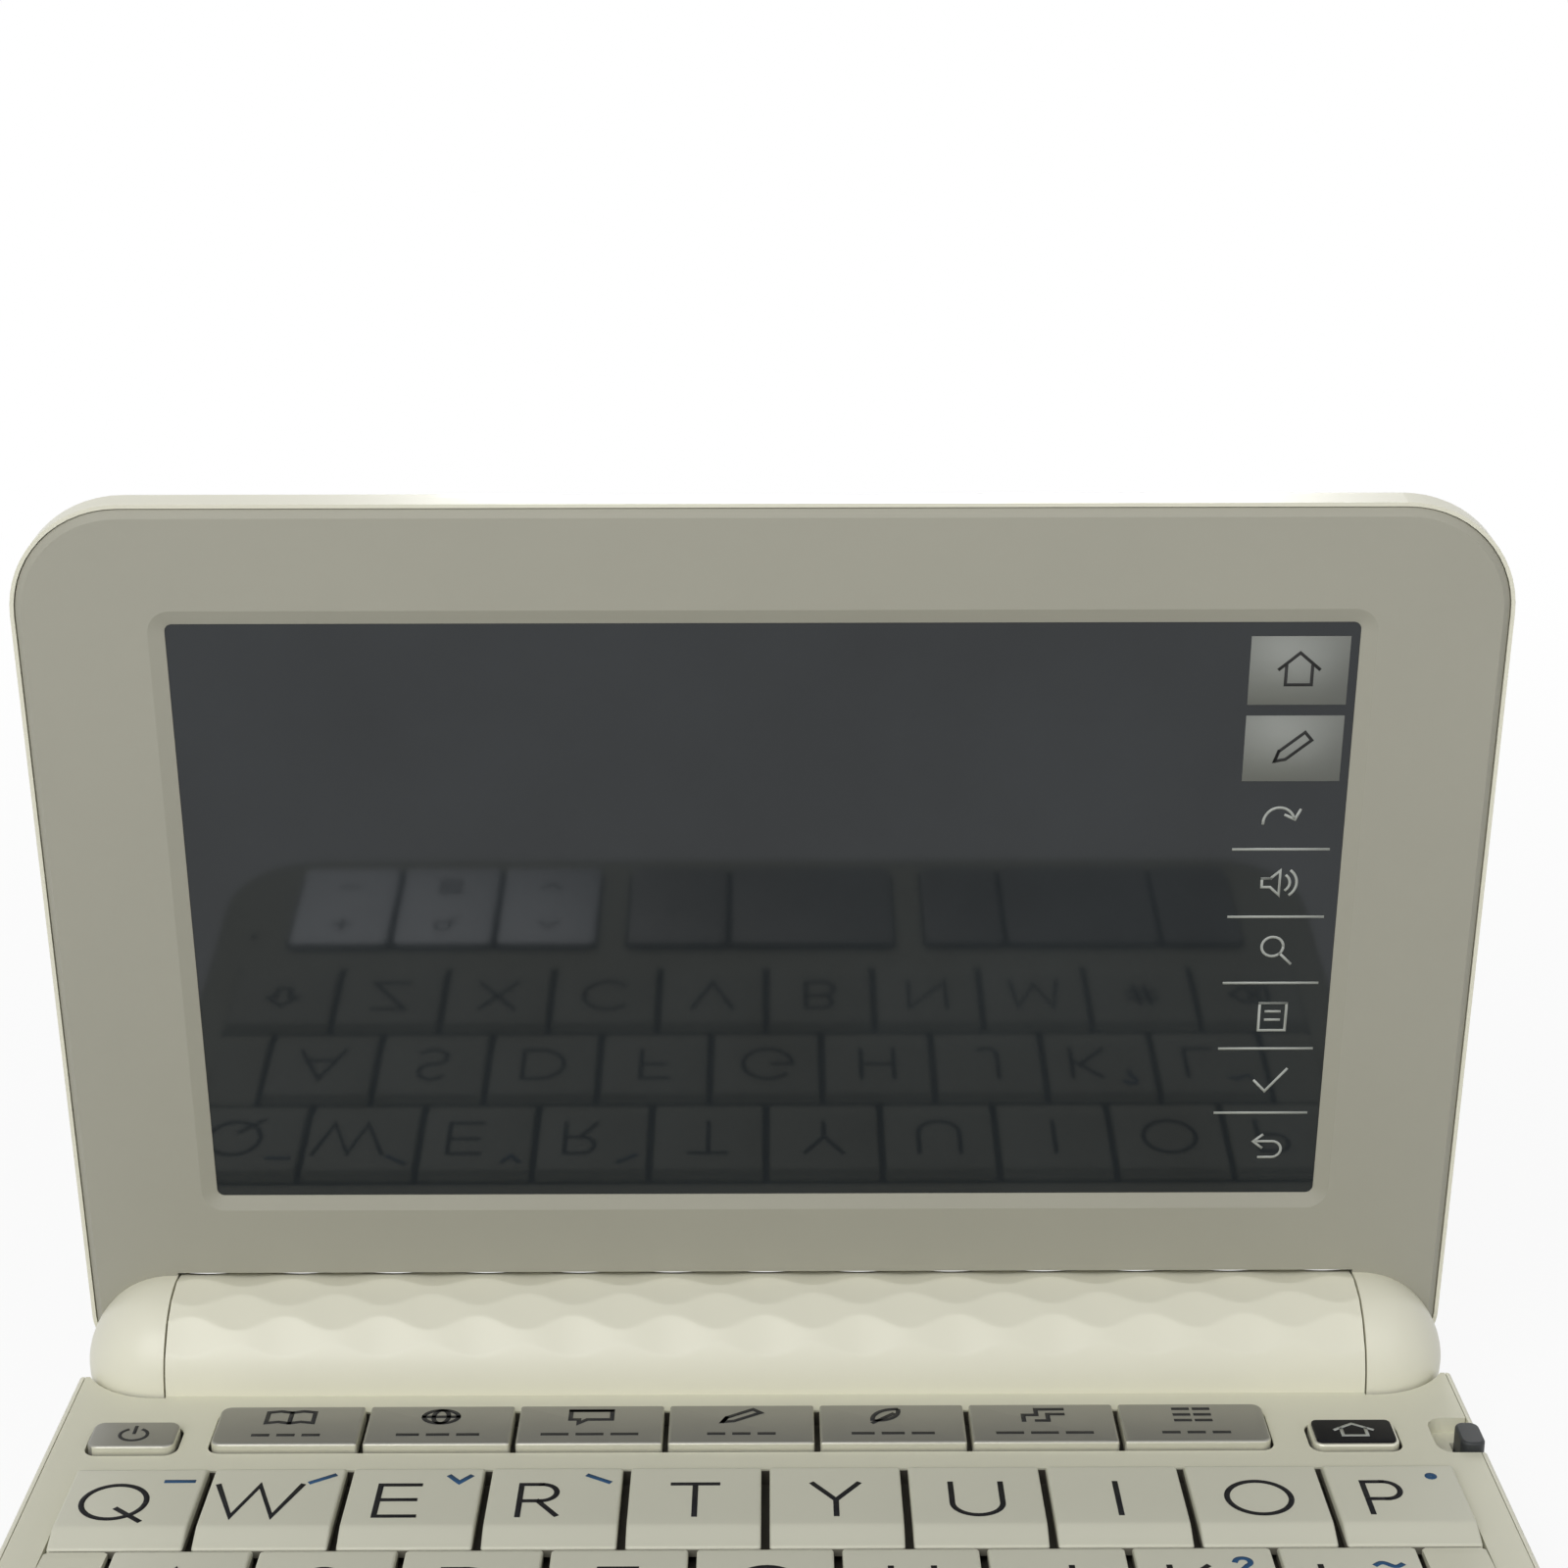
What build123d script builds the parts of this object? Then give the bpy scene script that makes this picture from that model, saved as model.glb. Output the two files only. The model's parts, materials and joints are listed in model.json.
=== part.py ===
from build123d import *
import math
import os

# Pocket electronic dictionary: a keyboard base and a display lid, joined by a battery barrel.
# Millimetres. +X right, +Y to the hinge side, +Z up. The origin is on the surface that the
# feet stand on, at the centre of the footprint. The lid is modelled open, as in use.

# ---------------------------------------------------------------- driving dimensions
body_width = 148.0  # base and lid, left to right
body_depth = 105.5  # closed, front edge to the back of the barrel
corner_radius = 11.5  # front corners of the base and top corners of the lid, in plan
lid_open_angle = 83.25  # from closed, at rest

# Base
foot_height = 0.6
case_floor = 1.2
case_wall = 1.8
case_rim = 0.6  # thin lip of the case that shows round the deck
case_bottom_round = 2.0
case_inner_corner = 1.0  # rear corners of the hollow
case_rim_round = 0.5
case_rear = 13.75  # rear edge of the case, in front of the back of the barrel
deck_thickness = 2.6
seam = 0.1  # gap between two shells at a parting line
over = 1.0  # how far a cut runs on past what it cuts

# Hinge barrel and caps
barrel_radius = 9.0
barrel_clear = 0.2  # barrel above the surface that the feet stand on
barrel_bore_radius = 7.6
barrel_end_wall = 1.5
bulkhead_wall = 1.2  # between the battery bay and each clutch bay
cap_reach = 9.7  # how far a domed cap stands out past the barrel's end
cap_inset = 0.3  # from the body's side to the cap's outermost point
cap_gap = 0.2  # between the barrel and each cap
cap_recess_gap = 0.4  # between a cap and the hollow in the base under it
cradle_gap = 0.02  # between the barrel and the case that holds it
lid_sweep_gap = 0.35  # between the barrel and the lid's concave lower edge
axle_radius = 2.4
axle_fit = 0.06  # radial running clearance of an axle
axle_end_gap = 2.2  # from an axle's inner end to the bulkhead

# Faceted relief on the barrel
facet_rows = 7
facet_first_angle = 41.0  # from the deck, turning up and back
facet_row_step = 18.5
facet_pitch = 10.26  # along the barrel
facet_level = 8.85  # mean distance of a facet from the axis
facet_wave = 0.13  # how far that distance swings along the row
facet_flats = 8  # flats to each pitch

# Batteries (size AA) and their door
cell_radius = 7.15
cell_length = 50.5
nub_radius = 2.75
nub_length = 1.2
contact_plate = 0.5
contact_radius = 5.7
bay_spare = 3.0  # room for the contacts in the battery bay
door_front_y = 0.3  # from the hinge axis
door_top_z = -3.8  # from the hinge axis
door_gap = 0.2

# Lid
lid_gap = 2.43  # display face to the deck, when closed
lid_thickness = 4.97  # display face to the outside of the cover
lid_ear_drop = 2.0  # how far the ears run on past the hinge axis
ear_radius = 5.0
cover_wall = 1.2
cover_back_round = 1.5
cover_rim_set = 0.6  # the cover's rim lies this far behind the display face
bezel_thickness = 1.5
bezel_inset = 0.4  # bezel edge inside the cover's edge
bezel_bevel = 0.75
cover_pocket_from = 12.0  # hinge axis to the hollow of the cover
finger_scoop_width = 64.0
finger_scoop_depth = 0.5

# Display
window_side = 15.0  # from the side of the lid
window_far = 12.3  # from the far edge of the lid
window_from_axis = 18.5
window_corner = 0.8
window_bevel = 1.55
window_recess = 0.69
touch_border = 2.2  # glass hidden under the bezel, each side
touch_thickness = 1.1
lcd_thickness = 1.7
lcd_margin = 1.5

# Letter keys
letters_in_row = 10
letter_margin = 4.3  # from the body's side
key_gap = 0.84
letter_rows = 3
key_row_gap = 0.45
letter_from_axis = 24.45  # hinge axis to the rear edge of the top row
key_rear_rise = 1.05
key_rear_bevel = 1.2  # how far in front of the rear edge the bevel ends
key_edge_rise = 0.3  # rear edge, below the bevel
blank_rear_rise = 0.45  # end pieces of the middle letter row
key_ridge_rise = 1.15
key_front_rise = 0.3
key_ridge_from_front = 2.85
key_corner = 0.4
key_travel = 0.9

# Key mechanics
key_rest_gap = 0.2  # spare height under a key that is fully pressed
cap_skirt = 0.7  # cap below the deck's surface
stem_share = 0.5  # width of a post to that of its key
letter_stem_depth = 5.85
category_stem_depth = 3.2
side_stem_depth = 2.25
front_stem_depth = 5.7
rocker_stem_depth = 3.8
stem_fit = 0.25
hook_reach = 0.7
hook_height = 0.7
hook_gap = 0.15
rocker_hook_gap = 0.5  # lower hooks, so that the rising side clears the web
well_gap = 0.35

# Row of category keys behind the letters
category_keys = 7
category_gap = 0.6
category_depth = 7.7
category_from_axis = 12.75
category_left_margin = 16.69
category_right_margin = 21.69
category_rise = 0.9
category_corner = 1.1
side_key_width = 8.9
side_key_depth = 5.0
side_key_set_back = 3.05  # rear edge in front of that of the row
plate_inset = 0.35  # the home key's dark plate, inside the key's edge
plate_rise = 0.3
power_key_inset = 8.85  # body's side to the key's centre
home_key_inset = 13.25

# Front key block
front_block_depth = 18.9
front_block_margin = 3.45  # from the body's front
front_block_gap = 5.15  # to the letter keys
front_key_rise = 0.8
front_key_gap = 0.7
front_key_corner = 1.0
function_margin = 10.0  # from the body's side
function_rockers = 3
command_gap = 3.58  # on each side of the command keys
cursor_margin = 9.5
cursor_widths = (11.1, 20.9, 11.1)
fulcrum_width = 1.0  # rib of the deck that a rocker rests on
pivot_radius = 0.4  # half-round pivot under a rocker

# Inside the base
board_thickness = 0.8
board_rise = 1.2  # board above the case floor
board_gap = 0.5  # board to the case wall
sheet_thickness = 0.5
dome_height = 0.45
dome_size = 4.0
chip_height = 0.9
chip_corners = ((-5.0, -5.0, 14.0), (18.0, -2.0, 9.0), (34.0, 5.0, 11.0))  # x, y, size

# Screws
screw_inset = 19.0  # from the body's side
screw_from_block = 2.75  # behind the front block of keys
screw_from_letters = 1.9  # behind the letter keys
screw_radius = 0.9
screw_head_radius = 1.7
screw_head_height = 1.0
screw_sunk = 0.2
boss_radius = 1.9
thread_depth = 1.4

# Stylus and its groove in the right side
stylus_thickness = 3.2
stylus_from_corner = 1.0  # tip behind the start of the front corner
stylus_from_axis = 16.7
stylus_tail_length = 4.4
stylus_tail_width = 2.5
stylus_rise = 0.9  # tail above the deck
stylus_round = 1.0
stylus_tail_edge = 0.3
stylus_set_in = 0.1
stylus_gap = 0.2
stylus_floor = 2.5  # groove above the case's underside
scoop_width = 1.5  # beside the groove
scoop_behind = 2.35  # behind the stylus
scoop_depth = 1.7
scoop_corner = 1.8

# Sockets in the left side
jack_from_front = 25.75
jack_bore_radius = 1.8
jack_bore_length = 12.0
jack_nose_radius = 2.2
jack_body = (13.0, 6.0, 4.5)
usb_from_card = 16.0
usb_size = (5.4, 7.4, 2.4)
card_from_jack = 21.0
card_size = (14.0, 12.0, 1.1)
socket_fit = 0.15
socket_wall = 0.4
socket_back = 1.0

# Feet, sound slots and small holes
foot_radius = 4.0
foot_inset = 12.0  # from the body's side
foot_from_front = 9.75
foot_from_back = 7.0
speaker_x = -30.0
speaker_y = -8.0
speaker_radius = 7.0
speaker_height = 1.0
slot_count = 5
slot_pitch = 2.4
slot_width = 1.0
slot_length = 9.0
slot_round = 0.45
mic_inset = 5.0  # from the body's side
mic_from_block = 3.1  # in front of the rear edge of the front block
mic_radius = 0.5

# ---------------------------------------------------------------- derived places
half_width = body_width / 2
base_thickness = barrel_radius + barrel_clear - foot_height  # case underside to the deck
front_y = -body_depth / 2
case_back_y = body_depth / 2 - case_rear
case_bottom_z = foot_height
floor_z = case_bottom_z + case_floor
deck_z = case_bottom_z + base_thickness
deck_bottom_z = deck_z - deck_thickness
axis_y = body_depth / 2 - barrel_radius
axis_z = deck_z
barrel_length = body_width - 2 * (cap_inset + cap_reach + cap_gap)
barrel_half = barrel_length / 2
cap_from = barrel_half + cap_gap
door_length = 2 * cell_length + bay_spare
bay_half = door_length / 2
clutch_from = bay_half + bulkhead_wall
clutch_to = barrel_half - barrel_end_wall
axle_length = cap_from - clutch_from - axle_end_gap
lid_reach = body_depth - barrel_radius
window_width = body_width - 2 * window_side
window_height = lid_reach - window_far - window_from_axis
window_y = -(window_from_axis + window_height / 2)
cap_bottom_z = deck_z - cap_skirt
web_top_z = cap_bottom_z - key_travel - key_rest_gap
web_bottom_z = deck_bottom_z
screw_head_top_z = case_bottom_z + screw_sunk + screw_head_height
board_z = floor_z + board_rise
sheet_z = board_z + board_thickness
sheet_top_z = sheet_z + sheet_thickness
key_pitch = (body_width - 2 * letter_margin) / letters_in_row
category_pitch = (body_width - category_left_margin - category_right_margin) / category_keys
category_rear = axis_y - category_from_axis
category_front = category_rear - category_depth
category_left = category_left_margin - half_width
category_right = half_width - category_right_margin
side_key_rear = category_rear - side_key_set_back
side_key_front = side_key_rear - side_key_depth
front_block_front = front_y + front_block_margin
front_block_rear = front_block_front + front_block_depth
front_block_centre = front_block_rear - front_block_depth / 2
letter_rear = axis_y - letter_from_axis
letter_front = front_block_rear + front_block_gap
key_row_pitch = (letter_rear - letter_front + key_row_gap) / letter_rows
key_depth = key_row_pitch - key_row_gap
function_left = function_margin - half_width
function_right = function_left + function_rockers * key_pitch - front_key_gap
command_left = function_right + front_key_gap + command_gap
cursor_left = half_width - cursor_margin - sum(cursor_widths)
cursor_right = half_width - cursor_margin - front_key_gap
enter_left = command_left + key_pitch
command_right = cursor_left - command_gap - front_key_gap
groove_depth = stylus_thickness + stylus_set_in + stylus_gap
groove_inner_x = half_width - groove_depth
stylus_z = case_bottom_z + stylus_floor
letter_half = letters_in_row * key_pitch / 2
stylus_rear = axis_y - stylus_from_axis
stylus_front = front_y + corner_radius + stylus_from_corner
stylus_outer = half_width - stylus_set_in
tail_inner_x = stylus_outer - stylus_tail_width
stylus_tail_front = stylus_rear - stylus_tail_length
jack_y = front_y + jack_from_front
card_y = jack_y + card_from_jack
usb_y = card_y + usb_from_card
mic_x = mic_inset - half_width
mic_y = front_block_rear - mic_from_block
screw_places = [(side * (half_width - screw_inset), y) for side in (-1, 1)
                for y in (front_block_rear + screw_from_block, letter_rear + screw_from_letters)]
foot_places = [(side * (half_width - foot_inset), y) for side in (-1, 1)
               for y in (front_y + foot_from_front, case_back_y - foot_from_back)]


# ---------------------------------------------------------------- helpers
def block(x0, x1, y0, y1, z0, z1):
    """A box between two corners."""
    return Pos((x0 + x1) / 2, (y0 + y1) / 2, (z0 + z1) / 2) * Box(x1 - x0, y1 - y0, z1 - z0)


def rounded_block(x0, x1, y0, y1, z0, z1, radius):
    """A box whose four upright edges are rounded."""
    plan = Pos((x0 + x1) / 2, (y0 + y1) / 2, z0) * RectangleRounded(x1 - x0, y1 - y0, radius)
    return extrude(plan, z1 - z0)


def rod_x(x0, x1, radius, y=0.0, z=0.0):
    """A cylinder along X."""
    return Pos((x0 + x1) / 2, y, z) * Rot(0, 90, 0) * Cylinder(radius, x1 - x0)


def rod_z(x, y, radius, z0, z1):
    """A cylinder along Z."""
    return Pos(x, y, (z0 + z1) / 2) * Cylinder(radius, z1 - z0)


def corner_plan(x_half, y0, y1, front_radius, rear_radius):
    """A plan with one radius on the corners at y0 and another on those at y1."""
    plan = Pos(0, (y0 + y1) / 2) * Rectangle(2 * x_half, y1 - y0)
    corners = plan.vertices().sort_by(Axis.Y)
    plan = fillet(corners[:2], front_radius)
    if rear_radius > 0:
        plan = fillet(plan.vertices().sort_by(Axis.Y)[-2:], rear_radius)
    return plan


def dome(side, grow):
    """The form of a domed cap, grown by a clearance: a short drum that runs out into a half sphere."""
    radius = barrel_radius + grow
    start = cap_from - (cap_gap if grow else 0.0)
    centre = cap_from + cap_reach - barrel_radius
    outline = Polyline((centre + radius, 0), (start, 0), (start, radius), (centre, radius))
    outline += CenterArc((centre, 0), radius, 0, 90)
    solid = revolve(make_face(outline), Axis.X)
    return solid if side > 0 else mirror(solid, Plane.YZ)


def at_hinge(shape):
    """Moves a shape made about the hinge axis to its place in the base."""
    return Pos(0, axis_y, axis_z) * shape


def open_lid(shape):
    """Turns a lid part, made closed about the hinge axis, to its rest angle."""
    return at_hinge(Rot(-lid_open_angle, 0, 0) * shape)


# ---------------------------------------------------------------- keys
def key_stem(x, y, width, depth, gap=hook_gap):
    """The post of a key: it passes the web under the well, and hooks below it."""
    hook_top_z = web_bottom_z - gap
    bottom_z = hook_top_z - hook_height
    post = block(x - width / 2, x + width / 2, y - depth / 2, y + depth / 2,
                 bottom_z, cap_bottom_z)
    hooks = block(x - width / 4, x + width / 4, y - depth / 2 - hook_reach,
                  y + depth / 2 + hook_reach, bottom_z, hook_top_z)
    return [post, hooks]


def stem_hole(x, y, width, depth):
    """The hole in the web for that post."""
    return block(x - width / 2 - stem_fit, x + width / 2 + stem_fit, y - depth / 2 - stem_fit,
                 y + depth / 2 + stem_fit, web_bottom_z - over, web_top_z + over)


def clipped_block(x0, x1, y0, y1, z0, z1, clip):
    """A box whose four upright edges are cut off."""
    plan = Pos((x0 + x1) / 2, (y0 + y1) / 2, z0) * Rectangle(x1 - x0, y1 - y0)
    return extrude(chamfer(plan.vertices(), clip), z1 - z0)


def letter_cap(x0, x1, y1, bevel_rise=key_rear_rise):
    """A cap with a bevel at the rear edge, a nearly level middle, and a steep band in front of a ridge."""
    y0 = y1 - key_depth
    ridge_y = y0 + key_ridge_from_front
    side = make_face(Polyline(
        (y0, cap_bottom_z), (y0, deck_z + key_front_rise), (ridge_y, deck_z + key_ridge_rise),
        (y1 - key_rear_bevel, deck_z + bevel_rise), (y1, deck_z + key_edge_rise), (y1, cap_bottom_z),
        close=True))
    cap = Pos(x0, 0, 0) * extrude(Plane.YZ * side, x1 - x0)
    return cap & clipped_block(x0, x1, y0, y1, cap_bottom_z, deck_z + key_ridge_rise + over, key_corner)


def flat_cap(x0, x1, y0, y1, rise, radius):
    """A cap with a level top and rounded upright edges."""
    return rounded_block(x0, x1, y0, y1, cap_bottom_z, deck_z + rise, radius)


keys = {}  # name: solid
stems = []  # centre x and y, width and depth of every post


def add_key(name, cap, posts, gap=hook_gap):
    """Joins a cap to its posts and notes the posts for the web and the dome sheet."""
    for post in posts:
        cap += key_stem(*post, gap)
        stems.append(post)
    keys[name] = cap


def letter_row(names, first_edge, row):
    """One row of letter keys, from its left edge, at the key pitch."""
    rear = letter_rear - row * key_row_pitch
    for index, name in enumerate(names):
        x0 = first_edge + index * key_pitch + key_gap / 2
        x1 = first_edge + (index + 1) * key_pitch - key_gap / 2
        centre = ((x0 + x1) / 2, rear - key_depth / 2)
        add_key(name, letter_cap(x0, x1, rear), [(*centre, stem_share * key_pitch, letter_stem_depth)])


letter_row([f"key_{c}" for c in "qwertyuiop"], -letter_half, 0)
letter_row([f"key_{c}" for c in "asdfghjkl"], -letter_half + key_pitch / 2, 1)
letter_row(["shift_key"] + [f"key_{c}" for c in "zxcvbnm"] + ["symbol_key", "delete_key"],
           -letter_half, 2)

category_row = flat_cap(category_left + category_gap / 2, category_right - category_gap / 2,
                        category_front, category_rear, category_rise, category_corner)
for index in range(category_keys):
    left = category_left + index * category_pitch + category_gap / 2
    right = left + category_pitch - category_gap
    slab = block(left, right, category_front, category_rear, cap_bottom_z, deck_z + category_rise)
    add_key(f"category_key_{index + 1}", slab & category_row,
            [((left + right) / 2, (category_front + category_rear) / 2,
              stem_share * category_pitch, category_stem_depth)])

side_key_places = {"power_key": power_key_inset - half_width, "home_key": half_width - home_key_inset}
plate_half = side_key_width / 2 - plate_inset
for name, x in side_key_places.items():
    plated = name == "home_key"
    cap = flat_cap(x - side_key_width / 2, x + side_key_width / 2, side_key_front, side_key_rear,
                   category_rise - (plate_rise if plated else 0.0), category_corner)
    if plated:
        cap += flat_cap(x - plate_half, x + plate_half, side_key_front + plate_inset,
                        side_key_rear - plate_inset, category_rise, category_corner - plate_inset)
    add_key(name, cap,
            [(x, (side_key_front + side_key_rear) / 2, stem_share * side_key_width, side_stem_depth)])

rockers = {}  # name: left and right edges
for index in range(function_rockers):
    edge = function_left + index * key_pitch
    rockers[f"function_rocker_{index + 1}"] = (edge, edge + key_pitch - front_key_gap)
cursor_rocker_left = cursor_left + cursor_widths[0]
cursor_right_left = cursor_rocker_left + cursor_widths[1]
rockers["cursor_rocker"] = (cursor_rocker_left, cursor_right_left - front_key_gap)

front_keys = {
    "back_key": (command_left, enter_left - front_key_gap),
    "enter_key": (enter_left, command_right),
    "cursor_left_key": (cursor_left, cursor_rocker_left - front_key_gap),
    "cursor_right_key": (cursor_right_left, cursor_right),
}
for name, (left, right) in front_keys.items():
    add_key(name,
            flat_cap(left, right, front_block_front, front_block_rear, front_key_rise, front_key_corner),
            [((left + right) / 2, front_block_centre, stem_share * (right - left), front_stem_depth)])
for name, (left, right) in rockers.items():
    middle = (left + right) / 2
    quarter = front_block_depth / 4
    rocker = flat_cap(left, right, front_block_front, front_block_rear, front_key_rise, front_key_corner)
    rocker += rod_x(left + front_key_corner, right - front_key_corner, pivot_radius,
                    front_block_centre, cap_bottom_z)
    add_key(name, rocker,
            [(middle, front_block_centre + offset, stem_share * (right - left), rocker_stem_depth)
             for offset in (-quarter, quarter)],
            rocker_hook_gap)

wells = [
    (-letter_half + key_gap / 2, letter_half - key_gap / 2, letter_front, letter_rear, key_corner),
    (category_left + category_gap / 2, category_right - category_gap / 2,
     category_front, category_rear, category_corner),
    (function_left, function_right, front_block_front, front_block_rear, front_key_corner),
    (command_left, command_right, front_block_front, front_block_rear, front_key_corner),
    (cursor_left, cursor_right, front_block_front, front_block_rear, front_key_corner),
]
for x in side_key_places.values():
    wells.append((x - side_key_width / 2, x + side_key_width / 2,
                  side_key_front, side_key_rear, category_corner))

# ---------------------------------------------------------------- cuts shared by the base shells
barrel_space = at_hinge(rod_x(-cap_from, cap_from, barrel_radius + cradle_gap))
cap_space = [at_hinge(dome(side, cap_recess_gap)) for side in (-1, 1)]
groove = block(groove_inner_x, half_width + over, stylus_front - stylus_gap, stylus_rear + stylus_gap,
               stylus_z - stylus_gap, stylus_z + stylus_thickness + stylus_gap)
tail_notch = block(tail_inner_x - stylus_gap, half_width + over, stylus_tail_front - stylus_gap,
                   stylus_rear + stylus_gap, stylus_z - stylus_gap, deck_z + over)
jack_z = floor_z + seam + jack_body[2] / 2
card_z = board_z - card_size[2] / 2
usb_z = board_z + board_thickness
sheet_left = -half_width + case_wall + usb_size[0]
sheet_right = groove_inner_x - case_wall - board_gap

# ---------------------------------------------------------------- bottom case
def make_bottom_case():
    plan = corner_plan(half_width, front_y, case_back_y, corner_radius, 0)
    case = extrude(Pos(0, 0, case_bottom_z) * plan, base_thickness)
    case = fillet(case.edges().group_by(Axis.Z)[0].filter_by(Axis.Y, reverse=True), case_bottom_round)
    rim_edges = case.edges().group_by(Axis.Z)[-1].sort_by(Axis.Y)[:-1]
    case = fillet(rim_edges, case_rim_round)
    inner_front = front_y + case_wall
    inner_back = axis_y - barrel_radius - case_wall
    inner_right = groove_inner_x - case_wall
    hollow = Pos((inner_right - half_width + case_wall) / 2, 0, floor_z) * corner_plan(
        (inner_right + half_width - case_wall) / 2, inner_front, inner_back,
        corner_radius - case_wall, case_inner_corner)
    case -= extrude(hollow, base_thickness)
    rim = corner_plan(half_width - case_rim, front_y + case_rim, case_back_y + case_rim,
                      corner_radius - case_rim, 0)
    case -= extrude(Pos(0, 0, deck_bottom_z) * rim, deck_thickness + over)
    case += [rod_z(x, y, boss_radius, floor_z, deck_bottom_z) for x, y in screw_places]
    case += [rod_z(x, y, foot_radius, 0, case_bottom_z) for x, y in foot_places]
    cuts = [barrel_space, *cap_space, groove, tail_notch]
    for x, y in screw_places:
        cuts.append(rod_z(x, y, screw_radius + seam, 0, deck_bottom_z + over))
        cuts.append(rod_z(x, y, screw_head_radius + seam, 0, screw_head_top_z))
    for index in range(slot_count):
        x = speaker_x + (index - (slot_count - 1) / 2) * slot_pitch
        cuts.append(rounded_block(x - slot_width / 2, x + slot_width / 2, speaker_y - slot_length / 2,
                                  speaker_y + slot_length / 2, 0, floor_z + over, slot_round))
    wall_from = -half_width - 1
    wall_to = -half_width + case_wall + 1
    cuts.append(rod_x(wall_from, wall_to, jack_nose_radius + socket_fit, jack_y, jack_z))
    for y, z, size in ((usb_y, usb_z, usb_size), (card_y, card_z, card_size)):
        half = size[1] / 2 + socket_fit
        rise = size[2] / 2 + socket_fit
        cuts.append(block(wall_from, wall_to, y - half, y + half, z - rise, z + rise))
    return case - cuts


# ---------------------------------------------------------------- keyboard deck
def make_keyboard_deck():
    plan = corner_plan(half_width - case_rim - seam, front_y + case_rim + seam, case_back_y,
                       corner_radius - case_rim - seam, 0)
    deck = extrude(Pos(0, 0, deck_bottom_z) * plan, deck_thickness)
    deck -= [rounded_block(x0 - well_gap, x1 + well_gap, y0 - well_gap, y1 + well_gap,
                           web_top_z, deck_z + over, radius + well_gap)
             for x0, x1, y0, y1, radius in wells]
    # Blank end pieces beside the middle letter row, moulded with the deck.
    row_rear = letter_rear - key_row_pitch
    for side in (-1, 1):
        inner = letter_half - key_pitch / 2 + key_gap / 2
        outer = letter_half - key_gap / 2
        edges = sorted((side * inner, side * outer))
        blank = letter_cap(edges[0], edges[1], row_rear, blank_rear_rise)
        foot = clipped_block(edges[0], edges[1], row_rear - key_depth, row_rear, web_bottom_z,
                             cap_bottom_z, key_corner)
        deck += [blank, foot]
    deck += [block(left + front_key_corner, right - front_key_corner,
                   front_block_centre - fulcrum_width / 2, front_block_centre + fulcrum_width / 2,
                   web_top_z, cap_bottom_z - pivot_radius - seam / 2)
             for left, right in rockers.values()]
    scoop_x = groove_inner_x - scoop_width
    cuts = [barrel_space, *cap_space, tail_notch]
    cuts.append(rounded_block(scoop_x, half_width + 2 * scoop_corner, stylus_tail_front - stylus_gap,
                              stylus_rear + scoop_behind, deck_z - scoop_depth, deck_z + over,
                              scoop_corner))
    cuts += [stem_hole(*post) for post in stems]
    cuts += [rod_z(x, y, screw_radius, deck_bottom_z - over, deck_bottom_z + thread_depth)
             for x, y in screw_places]
    cuts.append(rod_z(mic_x, mic_y, mic_radius, deck_bottom_z - over, deck_z + over))
    return deck - cuts


# ---------------------------------------------------------------- hinge barrel
def facet_cutter(row):
    """Everything outside one row of facets. The row's distance from the axis swings in a wave
    along the barrel, and neighbouring rows swing in turn, so each row cuts a chain of lenses."""
    turn = 2 * math.pi / facet_flats
    phase = math.pi * (row % 2)
    flat = facet_pitch / facet_flats
    count = math.ceil(barrel_half / flat) + 1
    wave = [(index * flat, facet_level - facet_wave * math.cos(turn * index + phase))
            for index in range(-count, count + 1)]
    outside = barrel_radius + over
    outline = Polyline(*wave, (count * flat, outside), (-count * flat, outside), close=True)
    half_chord = barrel_radius * math.sin(math.radians(facet_row_step))
    slab = extrude(Plane.XZ * make_face(outline), half_chord, both=True)
    return Rot(90 - facet_first_angle - row * facet_row_step, 0, 0) * slab


def door_space(gap):
    """The lower back of the barrel's wall, which the battery door closes, less a gap all round."""
    half = bay_half - gap
    reach = 2 * barrel_radius
    space = block(-half, half, door_front_y + gap, reach, -reach, door_top_z - gap)
    return space - rod_x(-half - over, half + over, barrel_bore_radius + gap / 2)


def make_hinge_barrel():
    barrel = rod_x(-barrel_half, barrel_half, barrel_radius)
    barrel -= [facet_cutter(row) for row in range(facet_rows)]
    barrel -= rod_x(-bay_half, bay_half, barrel_bore_radius)
    for side in (-1, 1):
        barrel -= rod_x(*sorted((side * clutch_from, side * clutch_to)), barrel_bore_radius)
        barrel -= rod_x(*sorted((side * clutch_to, side * (barrel_half + over))), axle_radius + axle_fit)
    return at_hinge(barrel - door_space(0.0))


def make_battery_door():
    shell = rod_x(-bay_half, bay_half, barrel_radius) & door_space(door_gap)
    return at_hinge(shell)


def make_batteries():
    cells = []
    for start in (-cell_length, 0.0):
        cell = rod_x(start, start + nub_length, nub_radius)
        cell += rod_x(start + nub_length, start + cell_length, cell_radius)
        cells.append(at_hinge(cell))
    return Compound(children=cells)


def make_barrel_fittings():
    """Two friction clutches that the lid's axles turn in, and two battery contacts."""
    pieces = []
    for side in (-1, 1):
        clutch = rod_x(*sorted((side * clutch_from, side * clutch_to)), barrel_bore_radius - seam)
        axle_end = cap_from - axle_length - seam
        clutch -= rod_x(*sorted((side * axle_end, side * (clutch_to + over))), axle_radius + axle_fit)
        pieces.append(at_hinge(clutch))
        plate = rod_x(*sorted((side * (bay_half - contact_plate), side * bay_half)), contact_radius)
        plate += rod_x(*sorted((side * cell_length, side * (bay_half - contact_plate))), nub_radius)
        pieces.append(at_hinge(plate))
    return Compound(children=pieces)


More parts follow.
